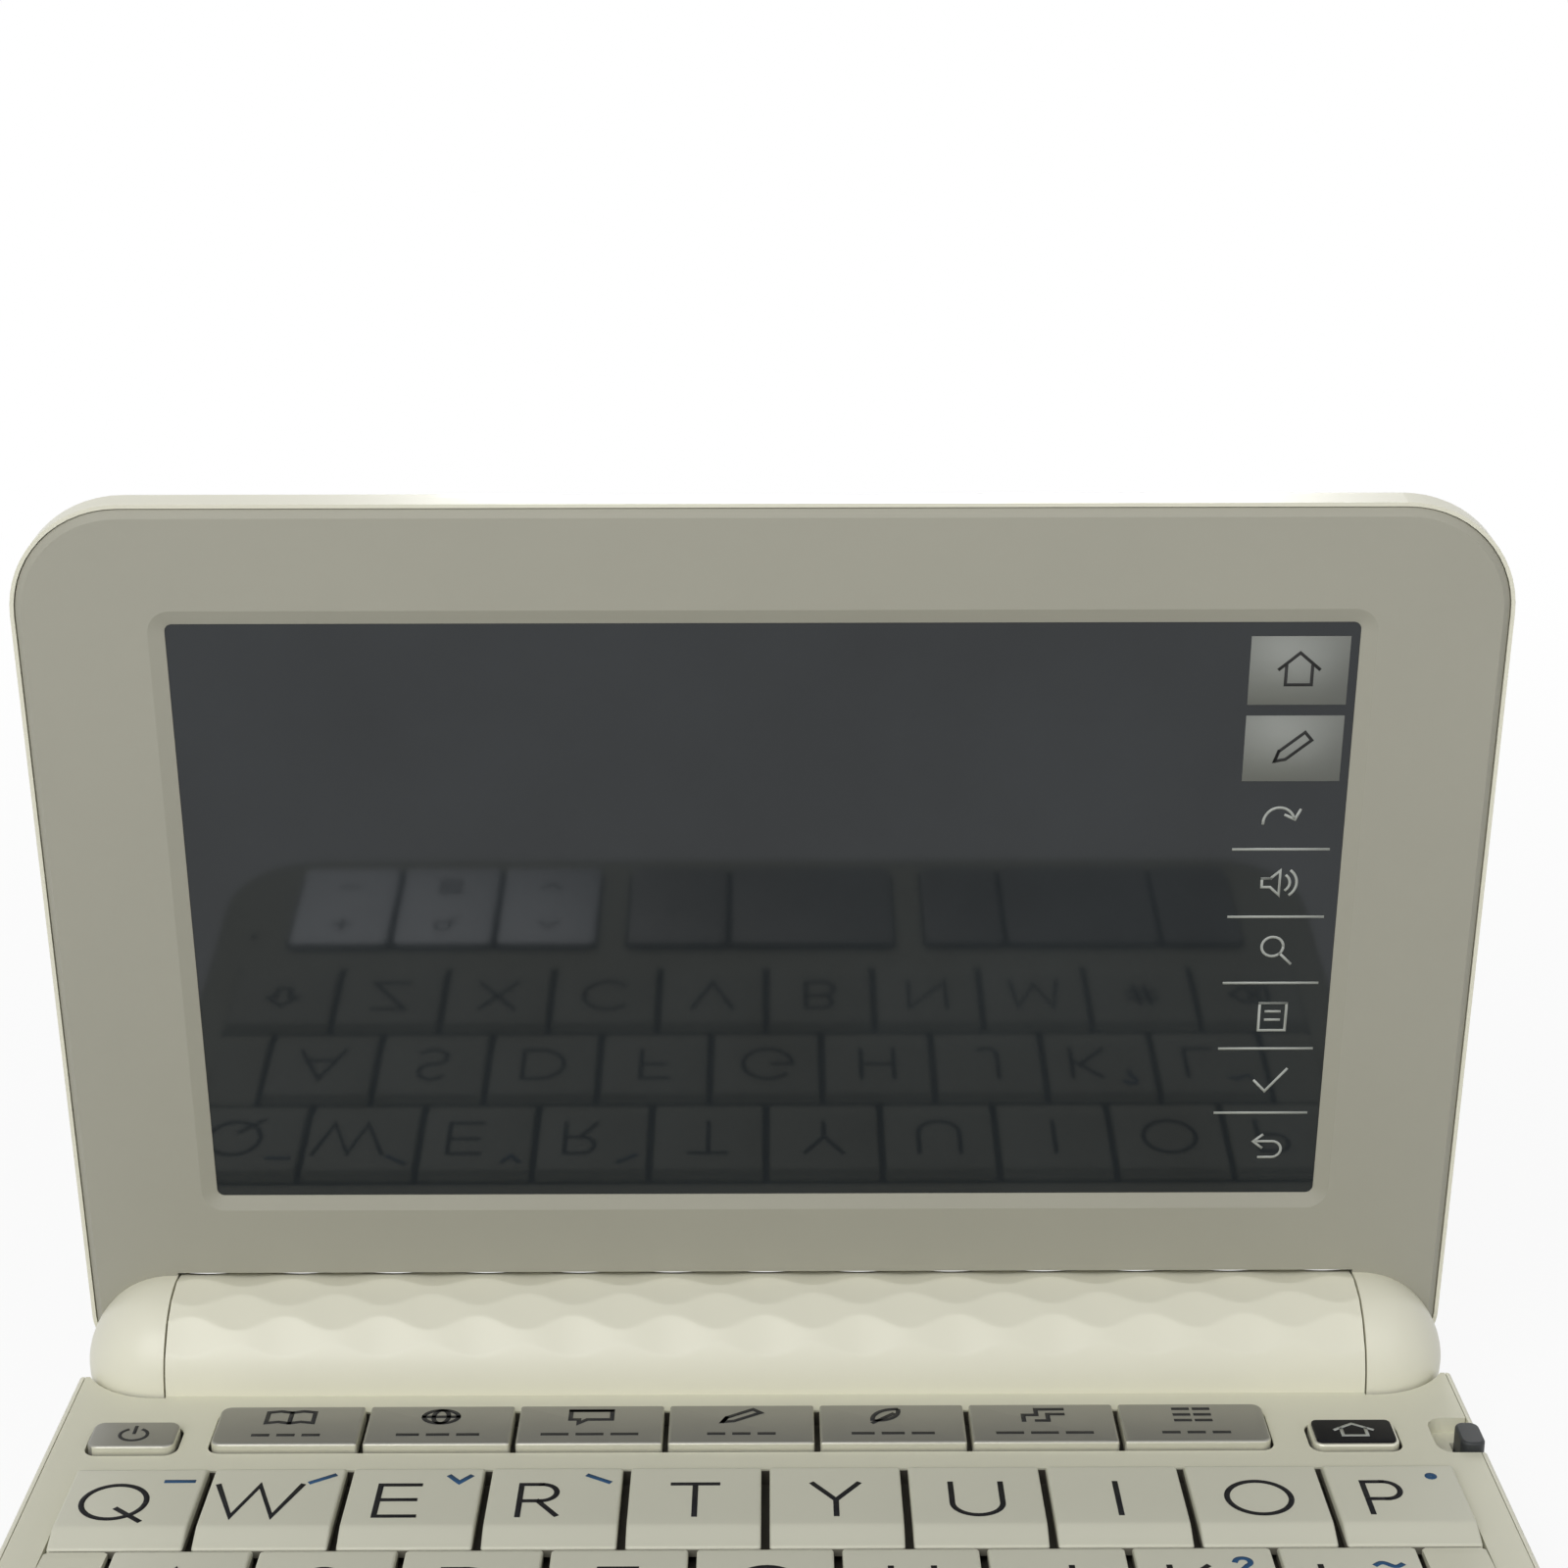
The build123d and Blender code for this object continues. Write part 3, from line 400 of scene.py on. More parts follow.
def letter_cap(x0, x1, rear, edge):
    """A letter keycap. Its top is a grid: every point is a core point plus the edge radius times a
    direction that turns from level at the rim to straight up on the top face, so that the upper and
    the upright edges are parts of one ball. Rows of points lie close at the ridge and the bevel. The
    rim is then carried down to the cap's bottom."""
    turn = np.radians(np.linspace(90, 0, CAP_EDGE_POINTS))
    half = [-np.sin(turn), np.sin(turn[::-1])]
    xs = np.repeat([x0 + edge, x1 - edge], CAP_EDGE_POINTS)
    sx = np.concatenate(half)
    y0, y1 = rear - KEY_DEPTH + edge, rear - edge
    inner = np.concatenate([y0 + np.linspace(0.0, 1.9, 3)[1:], y0 + np.linspace(2.05, 3.05, 8),
                            np.linspace(y0 + 4.0, y1 - 2.0, 4), y1 - np.linspace(1.3, 0.3, 7)])
    ys = np.concatenate([np.full(CAP_EDGE_POINTS, y0), inner, np.full(CAP_EDGE_POINTS, y1)])
    sy = np.concatenate([half[0], np.zeros(len(inner)), half[1]])
    cx, cy = np.meshgrid(xs, ys, indexing="ij")
    dx, dy = np.meshgrid(sx, sy, indexing="ij")
    up = np.sqrt(1 - dx ** 2) * np.sqrt(1 - dy ** 2)
    length = np.sqrt(dx ** 2 + dy ** 2 + up ** 2)
    grid = np.stack([cx + edge * dx / length, cy + edge * dy / length,
                     letter_top(cy, rear) - edge + edge * up / length], axis=-1)
    rows, columns = grid.shape[:2]
    index = np.arange(rows * columns).reshape(rows, columns)
    quads = np.stack([index[:-1, :-1], index[1:, :-1], index[1:, 1:], index[:-1, 1:]], axis=-1)
    rim = np.concatenate([index[:-1, 0], index[-1, :-1], index[:0:-1, -1], index[0, :0:-1]])
    points = grid.reshape(-1, 3)
    skirt = points[rim].copy()
    skirt[:, 2] = CAP_BOTTOM
    low = len(points) + np.arange(len(rim))
    sides = np.stack([low, np.roll(low, -1), np.roll(rim, -1), rim], axis=-1)
    faces = quads.reshape(-1, 4).tolist() + sides.tolist() + [low[::-1].tolist()]
    return np.concatenate([points, skirt]), faces


# ---------------------------------------------------------------- printed strokes
SAME_PLACE = 1e-4
SHARPEST = 0.45  # least cosine that a corner's reach is divided by


def arc(cx, cy, rx, ry, start, end, steps=17):
    """Points of an elliptical arc: the centre plus the radii times cosine and sine of the angle."""
    angle = np.radians(np.linspace(start, end, steps))
    return np.stack([cx + rx * np.cos(angle), cy + ry * np.sin(angle)], axis=1)


def line(*points):
    """A stroke through the points given."""
    return np.array(points, float)


def ribbon(stroke, width):
    """A flat strip along a stroke: each point is moved to both sides along the mean of its two
    segments' normals, far enough that both segments keep the full width. Open ends run on by half
    the width."""
    moved = np.linalg.norm(np.diff(stroke, axis=0), axis=1) > SAME_PLACE
    stroke = stroke[np.concatenate([[True], moved])]
    closed = np.allclose(stroke[0], stroke[-1]) and len(stroke) > 3
    step = np.diff(stroke, axis=0)
    step /= np.linalg.norm(step, axis=1, keepdims=True)
    if not closed:
        stroke[0] -= step[0] * width / 2
        stroke[-1] += step[-1] * width / 2
    before = np.vstack([step[-1:] if closed else step[:1], step])
    after = np.vstack([step, step[:1] if closed else step[-1:]])
    mean = before + after
    mean /= np.maximum(np.linalg.norm(mean, axis=1, keepdims=True), 1e-6)
    reach = width / 2 / np.maximum((mean * after).sum(axis=1, keepdims=True), SHARPEST)
    side = np.stack([-mean[:, 1], mean[:, 0]], axis=1) * reach
    index = np.arange(len(stroke) - 1)
    faces = np.stack([index + len(stroke), index + 1 + len(stroke), index + 1, index], axis=1)
    return np.vstack([stroke + side, stroke - side]), faces


def print_strokes(name, strokes, width, place, body, slot, material):
    """Joins the ribbons of some strokes, lays them with place, which turns flat points into points in
    space, and gives the ink its small thickness."""
    points, faces, first = [], [], 0
    for stroke in strokes:
        flat, quads = ribbon(stroke, width)
        points.append(flat)
        faces += (quads + first).tolist()
        first += len(flat)
    piece = lay_piece(name, place(np.concatenate(points)), faces, body, slot, material)
    ink = piece.modifiers.new("Ink", "SOLIDIFY")
    ink.thickness = INK_THICK * MM
    ink.offset = 1.0


def on_level(height):
    """Places flat points on a level face."""
    return lambda flat: np.column_stack([flat, np.full(len(flat), height)])


def on_lid(out):
    """Places points (x, distance from the hinge axis) on a plane of the open lid."""
    def place(flat):
        y = AXIS_Y - flat[:, 1] * math.cos(OPEN_ANGLE) + out * math.sin(OPEN_ANGLE)
        z = AXIS_Z + flat[:, 1] * math.sin(OPEN_ANGLE) + out * math.cos(OPEN_ANGLE)
        return np.column_stack([flat[:, 0], y, z])
    return place


# Letters one unit tall along their strokes' middle lines, as (width, strokes).
LETTERS = {
    "a": (0.98, [line((0, 0), (0.49, 1), (0.98, 0)), line((0.17, 0.34), (0.81, 0.34))]),
    "b": (0.65, [line((0, 0), (0, 1)), line((0, 1), (0.36, 1)), line((0, 0.52), (0.36, 0.52)),
                 line((0, 0), (0.38, 0)), arc(0.36, 0.76, 0.24, 0.24, 90, -90),
                 arc(0.38, 0.26, 0.27, 0.26, 90, -90)]),
    "c": (0.98, [arc(0.55, 0.5, 0.55, 0.53, 46, 314, 33)]),
    "d": (0.91, [line((0, 0), (0, 1)), line((0, 1), (0.38, 1)), line((0, 0), (0.38, 0)),
                 arc(0.38, 0.5, 0.53, 0.5, 90, -90, 25)]),
    "e": (0.69, [line((0.69, 1), (0, 1), (0, 0), (0.69, 0)), line((0, 0.52), (0.65, 0.52))]),
    "f": (0.61, [line((0.61, 1), (0, 1), (0, 0)), line((0, 0.5), (0.55, 0.5))]),
    "g": (1.04, [arc(0.55, 0.5, 0.55, 0.53, 44, 360, 41), line((1.1, 0.5), (0.66, 0.5))]),
    "h": (0.73, [line((0, 0), (0, 1)), line((0.73, 0), (0.73, 1)), line((0, 0.52), (0.73, 0.52))]),
    "i": (0.0, [line((0, 0), (0, 1))]),
    "j": (0.42, [line((0.42, 1), (0.42, 0.26)), arc(0.17, 0.26, 0.25, 0.29, 0, -125)]),
    "k": (0.72, [line((0, 0), (0, 1)), line((0.64, 1), (0.02, 0.42)), line((0.18, 0.57), (0.72, 0))]),
    "l": (0.58, [line((0, 1), (0, 0), (0.58, 0))]),
    "m": (1.08, [line((0, 0), (0.13, 1), (0.54, 0.1), (0.95, 1), (1.08, 0))]),
    "n": (0.86, [line((0, 0), (0, 1), (0.86, 0), (0.86, 1))]),
    "o": (1.13, [arc(0.565, 0.5, 0.565, 0.525, 0, 360, 49)]),
    "p": (0.62, [line((0, 0), (0, 1)), line((0, 1), (0.35, 1)), line((0, 0.45), (0.35, 0.45)),
                 arc(0.35, 0.725, 0.27, 0.275, 90, -90)]),
    "q": (1.13, [arc(0.565, 0.48, 0.565, 0.54, 0, 360, 49), line((0.66, 0.26), (1.12, -0.12))]),
    "r": (0.66, [line((0, 0), (0, 1)), line((0, 1), (0.36, 1)), line((0, 0.47), (0.36, 0.47)),
                 arc(0.36, 0.735, 0.28, 0.265, 90, -90), line((0.32, 0.47), (0.66, 0.02))]),
    "s": (0.69, [np.vstack([arc(0.35, 0.75, 0.29, 0.27, 35, 262, 19),
                            arc(0.34, 0.235, 0.32, 0.255, 82, -145, 21)])]),
    "t": (0.78, [line((0, 1), (0.78, 1)), line((0.39, 1), (0.39, 0))]),
    "u": (0.89, [np.vstack([line((0, 1)), arc(0.445, 0.36, 0.445, 0.38, 180, 360, 21),
                            line((0.89, 1))])]),
    "v": (0.94, [line((0, 1), (0.47, 0), (0.94, 1))]),
    "w": (1.48, [line((0, 1), (0.375, 0), (0.74, 1), (1.095, 0), (1.48, 1))]),
    "x": (0.86, [line((0, 0), (0.83, 1)), line((0.03, 1), (0.86, 0))]),
    "y": (0.8, [line((0, 1), (0.4, 0.47), (0.8, 1)), line((0.4, 0.47), (0.4, 0))]),
    "z": (0.81, [line((0.03, 1), (0.78, 1), (0, 0), (0.81, 0))]),
}

# Accents printed in blue beside some letters, about one unit across.
ACCENTS = {
    "q": [line((-0.55, -0.09), (0.52, -0.09))],
    "w": [line((-0.35, -0.2), (0.52, 0.36))],
    "e": [line((-0.42, 0.25), (0, -0.25), (0.42, 0.25))],
    "r": [line((-0.45, 0.28), (0.4, -0.25))],
    "p": [arc(0, 0, 0.14, 0.14, 0, 360, 13)],
    "k": [np.vstack([arc(0, 0.22, 0.3, 0.28, 165, -60), line((0, -0.22))]),
          arc(0, -0.5, 0.03, 0.03, 0, 360, 9)],
    "l": [np.column_stack([np.linspace(-0.5, 0.5, 17),
                           0.14 * np.sin(np.linspace(0, 2 * np.pi, 17))])],
}

# Their places right of the key's middle and in front of its rear edge.
ACCENT_PLACES = {
    "q": (4.3, 3.25), "w": (4.3, 3.25), "e": (4.3, 3.25), "r": (4.3, 3.25),
    "p": (3.9, 3.25), "k": (3.55, 4.1), "l": (3.4, 4.1),
}

# Plain pictograms, about one unit across, round their centres.
SIGNS = {
    "power": [arc(0, -0.05, 0.42, 0.42, 125, 415, 25), line((0, 0.05), (0, 0.5))],
    "home": [line((-0.55, 0.02), (0, 0.5), (0.55, 0.02)),
             line((-0.36, 0.1), (-0.36, -0.45), (0.36, -0.45), (0.36, 0.1))],
    "book": [line((0, 0.32), (-0.3, 0.42), (-0.62, 0.34), (-0.62, -0.4), (-0.3, -0.32), (0, -0.42),
                  (0.3, -0.32), (0.62, -0.4), (0.62, 0.34), (0.3, 0.42), (0, 0.32)),
             line((0, 0.32), (0, -0.42))],
    "globe": [arc(0, 0, 0.46, 0.46, 0, 360, 29), arc(0, 0, 0.2, 0.46, 0, 360, 21),
              line((-0.46, 0), (0.46, 0))],
    "speech": [line((-0.55, 0.4), (0.55, 0.4), (0.55, -0.22), (-0.1, -0.22), (-0.32, -0.48),
                    (-0.32, -0.22), (-0.55, -0.22), (-0.55, 0.4), (0.54, 0.4))],
    "pen": [line((-0.5, -0.42), (-0.4, -0.12), (0.3, 0.46), (0.5, 0.22), (-0.2, -0.36), (-0.5, -0.42),
                 (-0.4, -0.12))],
    "leaf": [arc(0.1, -0.28, 0.62, 0.72, 88, 182, 13), arc(-0.38, 0.3, 0.56, 0.66, -92, 5, 13),
             line((-0.5, -0.5), (0.02, 0.1))],
    "steps": [line((-0.5, -0.4), (-0.5, 0), (-0.15, 0), (-0.15, 0.4), (0.55, 0.4)),
              line((-0.15, -0.4), (0.15, -0.4), (0.15, 0.05), (0.55, 0.05))],
    "grid": [line((-0.45, 0.4), (-0.1, 0.4)), line((0.1, 0.4), (0.45, 0.4)),
             line((-0.45, 0), (-0.1, 0)), line((0.1, 0), (0.45, 0)),
             line((-0.45, -0.4), (-0.1, -0.4)), line((0.1, -0.4), (0.45, -0.4))],
    "jump": [arc(-0.08, -0.28, 0.46, 0.5, 180, 20, 17),
             line((0.1, -0.02), (0.38, -0.16), (0.52, 0.14))],
    "speaker": [line((-0.5, 0.14), (-0.25, 0.14), (0.02, 0.4), (0.02, -0.4), (-0.25, -0.14),
                     (-0.5, -0.14), (-0.5, 0.14), (-0.25, 0.14)),
                arc(0.02, 0, 0.3, 0.3, -50, 50, 11), arc(0.02, 0, 0.5, 0.5, -50, 50, 13)],
    "search": [arc(-0.1, 0.1, 0.32, 0.32, 0, 360, 25), line((0.13, -0.13), (0.46, -0.46))],
    "note": [line((-0.4, 0.46), (0.4, 0.46), (0.4, -0.46), (-0.4, -0.46), (-0.4, 0.46), (0.4, 0.46)),
             line((-0.2, 0.18), (0.2, 0.18)), line((-0.2, -0.1), (0.2, -0.1))],
    "check": [line((-0.45, 0), (-0.12, -0.36), (0.5, 0.4))],
    "back": [np.vstack([line((-0.3, 0.22), (0.18, 0.22)), arc(0.18, -0.06, 0.28, 0.28, 90, -90, 13),
                        line((-0.2, -0.34))]),
             line((-0.14, 0.44), (-0.4, 0.22), (-0.14, 0))],
    "enter": [line((0.5, 0.4), (0.5, -0.1), (-0.42, -0.1)),
              line((-0.18, 0.14), (-0.48, -0.1), (-0.18, -0.34))],
    "left": [line((0.22, 0.42), (-0.26, 0), (0.22, -0.42))],
    "right": [line((-0.22, 0.42), (0.26, 0), (-0.22, -0.42))],
    "up": [line((-0.42, -0.2), (0, 0.24), (0.42, -0.2))],
    "down": [line((-0.42, 0.2), (0, -0.24), (0.42, 0.2))],
    "plus": [line((-0.4, 0), (0.4, 0)), line((0, -0.4), (0, 0.4))],
    "minus": [line((-0.4, 0), (0.4, 0))],
    "shift": [line((-0.2, -0.42), (-0.2, 0), (-0.46, 0), (0, 0.46), (0.46, 0), (0.2, 0), (0.2, -0.42),
                   (-0.2, -0.42), (-0.2, 0))],
    "hash": [line((-0.22, -0.45), (-0.08, 0.45)), line((0.1, -0.45), (0.24, 0.45)),
             line((-0.42, 0.17), (0.44, 0.17)), line((-0.44, -0.17), (0.42, -0.17))],
    "erase": [line((0.55, 0.36), (-0.2, 0.36), (-0.55, 0), (-0.2, -0.36), (0.55, -0.36), (0.55, 0.36),
                   (-0.2, 0.36)),
              line((-0.02, 0.16), (0.3, -0.16)), line((-0.02, -0.16), (0.3, 0.16))],
}


def sized(strokes, x, y, size, stretch=1.0):
    """Strokes scaled to a size, widened by stretch, and moved to x, y."""
    return [stroke * (size * stretch, size) + (x, y) for stroke in strokes]


# ---------------------------------------------------------------- operators, one for each group
class DICTIONARY_OT_barrel(bpy.types.Operator):
    """The hinge barrel with its relief of lens-shaped facets"""
    bl_idname = "dictionary.barrel"
    bl_label = "Hinge Barrel"

    def execute(self, context):
        """The barrel's distance from the axis is the least of its plain radius and, for each row of
        facets, the row's plane: level minus a cosine wave along the barrel, over the cosine of the
        angle to the row. Neighbouring rows are half a wave apart. The skin is a loop, outside one way
        and bore the other, carried along the barrel; round plugs close the bore's ends."""
        sizes = context.scene.dictionary_sizes
        x = np.linspace(-BARREL_HALF, BARREL_HALF, SKIN_LOOPS)
        turn = np.radians(np.linspace(*BARREL_SPAN, SKIN_POINTS))
        distance = np.full((len(x), len(turn)), BARREL_RADIUS)
        for row in range(FACET_ROWS):
            towards = turn - math.radians(FACET_FIRST + FACET_STEP * row)
            phase = 2 * np.pi * x / sizes.facet_pitch + np.pi * (row % 2)
            wave = FACET_LEVEL - sizes.facet_wave * np.cos(phase)
            near = np.abs(towards) < FACET_REACH
            plane = wave[:, None] / np.cos(np.where(near, towards, 0.0))[None, :]
            distance = np.where(near[None, :], np.minimum(distance, plane), distance)
        inside = np.radians(np.linspace(*BORE_SPAN, BORE_POINTS))
        around = np.concatenate([turn, inside])
        reach = np.concatenate([distance, np.full((len(x), len(inside)), BARREL_BORE)], axis=1)
        loops = np.stack([np.repeat(x[:, None], len(around), axis=1),
                          AXIS_Y - reach * np.cos(around), AXIS_Z + reach * np.sin(around)], axis=-1)
        points, faces = stacked(list(loops[::-1]))
        lay_piece("barrel_skin", points, faces, "base", "barrel_shell", replaced=("hinge_barrel",),
                  smooth=40)
        around = np.radians(np.arange(0, 360, 3.0))
        opening = (around > math.radians(PLUG_SPAN[0])) & (around < math.radians(PLUG_SPAN[1]))
        reach = np.where(opening, BARREL_RADIUS - PLUG_SUNK, BARREL_BORE + PLUG_OVERLAP)
        for side, name in ((-1, "left"), (1, "right")):
            rings = []
            for place in np.linspace(BARREL_HALF, PLUG_FROM, 3)[::-side]:
                rings.append(np.stack([np.full(len(around), side * place),
                                       AXIS_Y - reach * np.cos(around),
                                       AXIS_Z + reach * np.sin(around)], axis=-1))
            points, faces = stacked(rings[::-1])
            lay_piece(f"barrel_plug_{name}", points, faces, "base", "barrel_shell", smooth=20)
        return {"FINISHED"}


class DICTIONARY_OT_letter_keys(bpy.types.Operator):
    """Letter keycaps with a ridge near their front edge"""
    bl_idname = "dictionary.letter_keys"
    bl_label = "Letter Keys"

    def execute(self, context):
        edge = context.scene.dictionary_sizes.cap_edge
        for letters, first, rear in LETTER_ROWS:
            for index, letter in enumerate(letters):
                node = SIGN_KEYS[letter][0] if letter in SIGN_KEYS else f"key_{letter}"
                x0 = first + index * KEY_PITCH + KEY_GAP / 2
                points, faces = letter_cap(x0, x0 + KEY_PITCH - KEY_GAP, rear, edge)
                lay_piece(f"cap_{node}", points, faces, node, "letter_key", replaced=(node,), smooth=50)
        return {"FINISHED"}


class DICTIONARY_OT_flat_keys(bpy.types.Operator):
    """Category, power, home, function, command and cursor keycaps"""
    bl_idname = "dictionary.flat_keys"
    bl_label = "Flat Keys"

    def execute(self, context):
        edge = context.scene.dictionary_sizes.cap_edge
        for index in range(7):
            left = CATEGORY_LEFT + index * CATEGORY_PITCH + CATEGORY_GAP / 2
            at_left = KEY_CORNER if index == 0 else INNER_CORNER
            at_right = KEY_CORNER if index == 6 else INNER_CORNER
            across = (left, left + CATEGORY_PITCH - CATEGORY_GAP)
            self.cap(f"category_key_{index + 1}", across, CATEGORY_Y,
                     [at_left, at_right, at_right, at_left], CATEGORY_TOP, edge, "silver_key")
        self.cap("power_key", POWER_X, SIDE_Y, [KEY_CORNER] * 4, CATEGORY_TOP, edge, "silver_key")
        self.cap("home_key", HOME_X, SIDE_Y, [KEY_CORNER] * 4, HOME_TOP, FLAT_EDGE, "silver_key")
        points, faces = pad_cap(HOME_X[0] + PLATE_INSET, HOME_X[1] - PLATE_INSET,
                                SIDE_Y[0] + PLATE_INSET, SIDE_Y[1] - PLATE_INSET, [PLATE_CORNER] * 4,
                                PLATE_BOTTOM, CATEGORY_TOP, PLATE_EDGE)
        lay_piece("home_key_plate", points, faces, "home_key", "home_key_top")
        for index in range(3):
            left = FUNCTION_LEFT + index * KEY_PITCH
            self.cap(f"function_rocker_{index + 1}", (left, left + KEY_PITCH - FRONT_GAP), FRONT_Y,
                     [FRONT_CORNER] * 4, FRONT_TOP, FLAT_EDGE, "function_key")
        for node, across in COMMAND_KEYS.items():
            self.cap(node, across, FRONT_Y, [FRONT_CORNER] * 4, FRONT_TOP, FLAT_EDGE, "command_key")
        return {"FINISHED"}

    def cap(self, node, across, along, radii, top, edge, slot):
        """Lays one level-topped cap in place of its node."""
        points, faces = pad_cap(*across, *along, radii, CAP_BOTTOM, top, edge)
        lay_piece(f"cap_{node}", points, faces, node, slot, replaced=(node,), smooth=50)


class DICTIONARY_OT_letters(bpy.types.Operator):
    """Letters, accents and signs printed on the keys"""
    bl_idname = "dictionary.letters"
    bl_label = "Printed Letters"

    def execute(self, context):
        sizes = context.scene.dictionary_sizes
        for letters, first, rear in LETTER_ROWS:
            def place(flat, rear=rear):
                return np.column_stack([flat, letter_top(flat[:, 1], rear) + INK_LIFT])
            for index, letter in enumerate(letters):
                centre = first + (index + 0.5) * KEY_PITCH
                if letter in LETTERS:
                    node = f"key_{letter}"
                    width, strokes = LETTERS[letter]
                    shift = LETTER_SHIFT if letter in ACCENTS else 0.0
                    height = sizes.letter_height
                    left = centre - width * LETTER_WIDTH * height / 2 - shift
                    strokes = sized(strokes, left, rear - LETTER_FOOT, height, LETTER_WIDTH)
                else:
                    node, sign = SIGN_KEYS[letter]
                    strokes = sized(SIGNS[sign], centre, rear - SIGN_BACK, SIGN_SIZE)
                print_strokes(f"print_{node}", strokes, sizes.letter_stroke, place, node,
                              "letter_key", "ink")
                if letter in ACCENTS:
                    across, back = ACCENT_PLACES[letter]
                    strokes = sized(ACCENTS[letter], centre + across, rear - back, ACCENT_SIZE)
                    print_strokes(f"accent_{node}", strokes, sizes.letter_stroke, place, node,
                                  "letter_key", "accent_ink")
        return {"FINISHED"}


class DICTIONARY_OT_signs(bpy.types.Operator):
    """Pictograms on the level keys"""
    bl_idname = "dictionary.signs"
    bl_label = "Printed Signs"

    def execute(self, context):
        width = context.scene.dictionary_sizes.mark_stroke
        high, low = on_level(CATEGORY_TOP + INK_LIFT), on_level(FRONT_TOP + INK_LIFT)
        sign_y, bar_y, bar_gap, bolder = 28.7, 25.1, 1.2, 0.12
        middle_y = sum(FRONT_Y) / 2
        for index, sign in enumerate(("book", "globe", "speech", "pen", "leaf", "steps", "grid")):
            node = f"category_key_{index + 1}"
            x = CATEGORY_LEFT + (index + 0.5) * CATEGORY_PITCH
            strokes = sized(SIGNS[sign], x, sign_y, 2.9, 1.35)
            bar = 1.4 + 0.5 * (index % 3)
            for step in range(3):
                middle = x + (step - 1) * (bar + bar_gap)
                strokes.append(line((middle - bar / 2, bar_y), (middle + bar / 2, bar_y)))
            print_strokes(f"print_{node}", strokes, width + bolder, high, node, "silver_key",
                          "dark_print")
        side_y = sum(SIDE_Y) / 2
        strokes = sized(SIGNS["power"], sum(POWER_X) / 2, side_y, 2.8, 1.2)
        print_strokes("print_power_key", strokes, width, high, "power_key", "silver_key", "dark_print")
        strokes = sized(SIGNS["home"], sum(HOME_X) / 2, side_y, 2.5, 1.4)
        print_strokes("print_home_key", strokes, width, high, "home_key", "home_key_top", "pale_print")
        pairs = (("plus", "minus"), ("search", "note"), ("up", "down"))
        for index, (rear, front) in enumerate(pairs):
            node = f"function_rocker_{index + 1}"
            x = FUNCTION_LEFT + index * KEY_PITCH + (KEY_PITCH - FRONT_GAP) / 2
            strokes = sized(SIGNS[rear], x, -35.2, 3.2) + sized(SIGNS[front], x, -44.6, 3.2)
            print_strokes(f"print_{node}", strokes, width, low, node, "function_key", "dark_print")
        for node, signs in (("back_key", (("back", middle_y),)), ("enter_key", (("enter", middle_y),)),
                            ("cursor_left_key", (("left", middle_y),)),
                            ("cursor_right_key", (("right", middle_y),)),
                            ("cursor_rocker", (("up", -35.0), ("down", -44.7)))):
            x = sum(COMMAND_KEYS[node]) / 2
            strokes = []
            for sign, y in signs:
                strokes += sized(SIGNS[sign], x, y, 4.2)
            print_strokes(f"print_{node}", strokes, width, low, node, "command_key", "white_print")
        return {"FINISHED"}


class DICTIONARY_OT_soft_keys(bpy.types.Operator):
    """The touch keys at the right of the display"""
    bl_idname = "dictionary.soft_keys"
    bl_label = "Touch Keys"

    def execute(self, context):
        """The fields are flat rectangles, and signs and rules are strokes, all on the glass. The signs'
        column leans out a little towards its foot."""
        field, mark = on_lid(GLASS_OUT - INK_LIFT), on_lid(GLASS_OUT - 3 * INK_LIFT)
        dark = []
        for (name, sign, low, high), up in zip(FIELDS, FIELD_SIGN_UP):
            half = (high - low) / 2
            strokes = [line((FIELD_X[0] + half, low + half), (FIELD_X[1] - half, low + half))]
            print_strokes(f"touch_field_{name}", strokes, 2 * half, field, "lid", "display_glass",
                          "soft_key_field")
            dark += sized(SIGNS[sign], FIELD_SIGN_X, up, FIELD_SIGN_SIZE)
        print_strokes("touch_signs_dark", dark, 0.32, mark, "lid", "display_glass", "dark_print")
        pale = []
        for sign, x, up in TOUCH_SIGNS:
            pale += sized(SIGNS[sign], x, up, TOUCH_SIGN_SIZE)
        pale += [line((RULE_X[0], up), (RULE_X[1], up)) for up in RULES]
        print_strokes("touch_signs_pale", pale, 0.28, mark, "lid", "display_glass", "pale_print")
        return {"FINISHED"}


class DICTIONARY_OT_finishes(bpy.types.Operator):
    """Gives every CAD node that shows the finish of its slot"""
    bl_idname = "dictionary.finishes"
    bl_label = "Finishes"

    def execute(self, context):
        make_finishes()
        for part in frame["record"]["subparts"]:
            node = frame["nodes"][part["node"]]
            node.data.materials.clear()
            node.data.materials.append(bpy.data.materials[f"{part['material_slot']}_finish"])
        return {"FINISHED"}


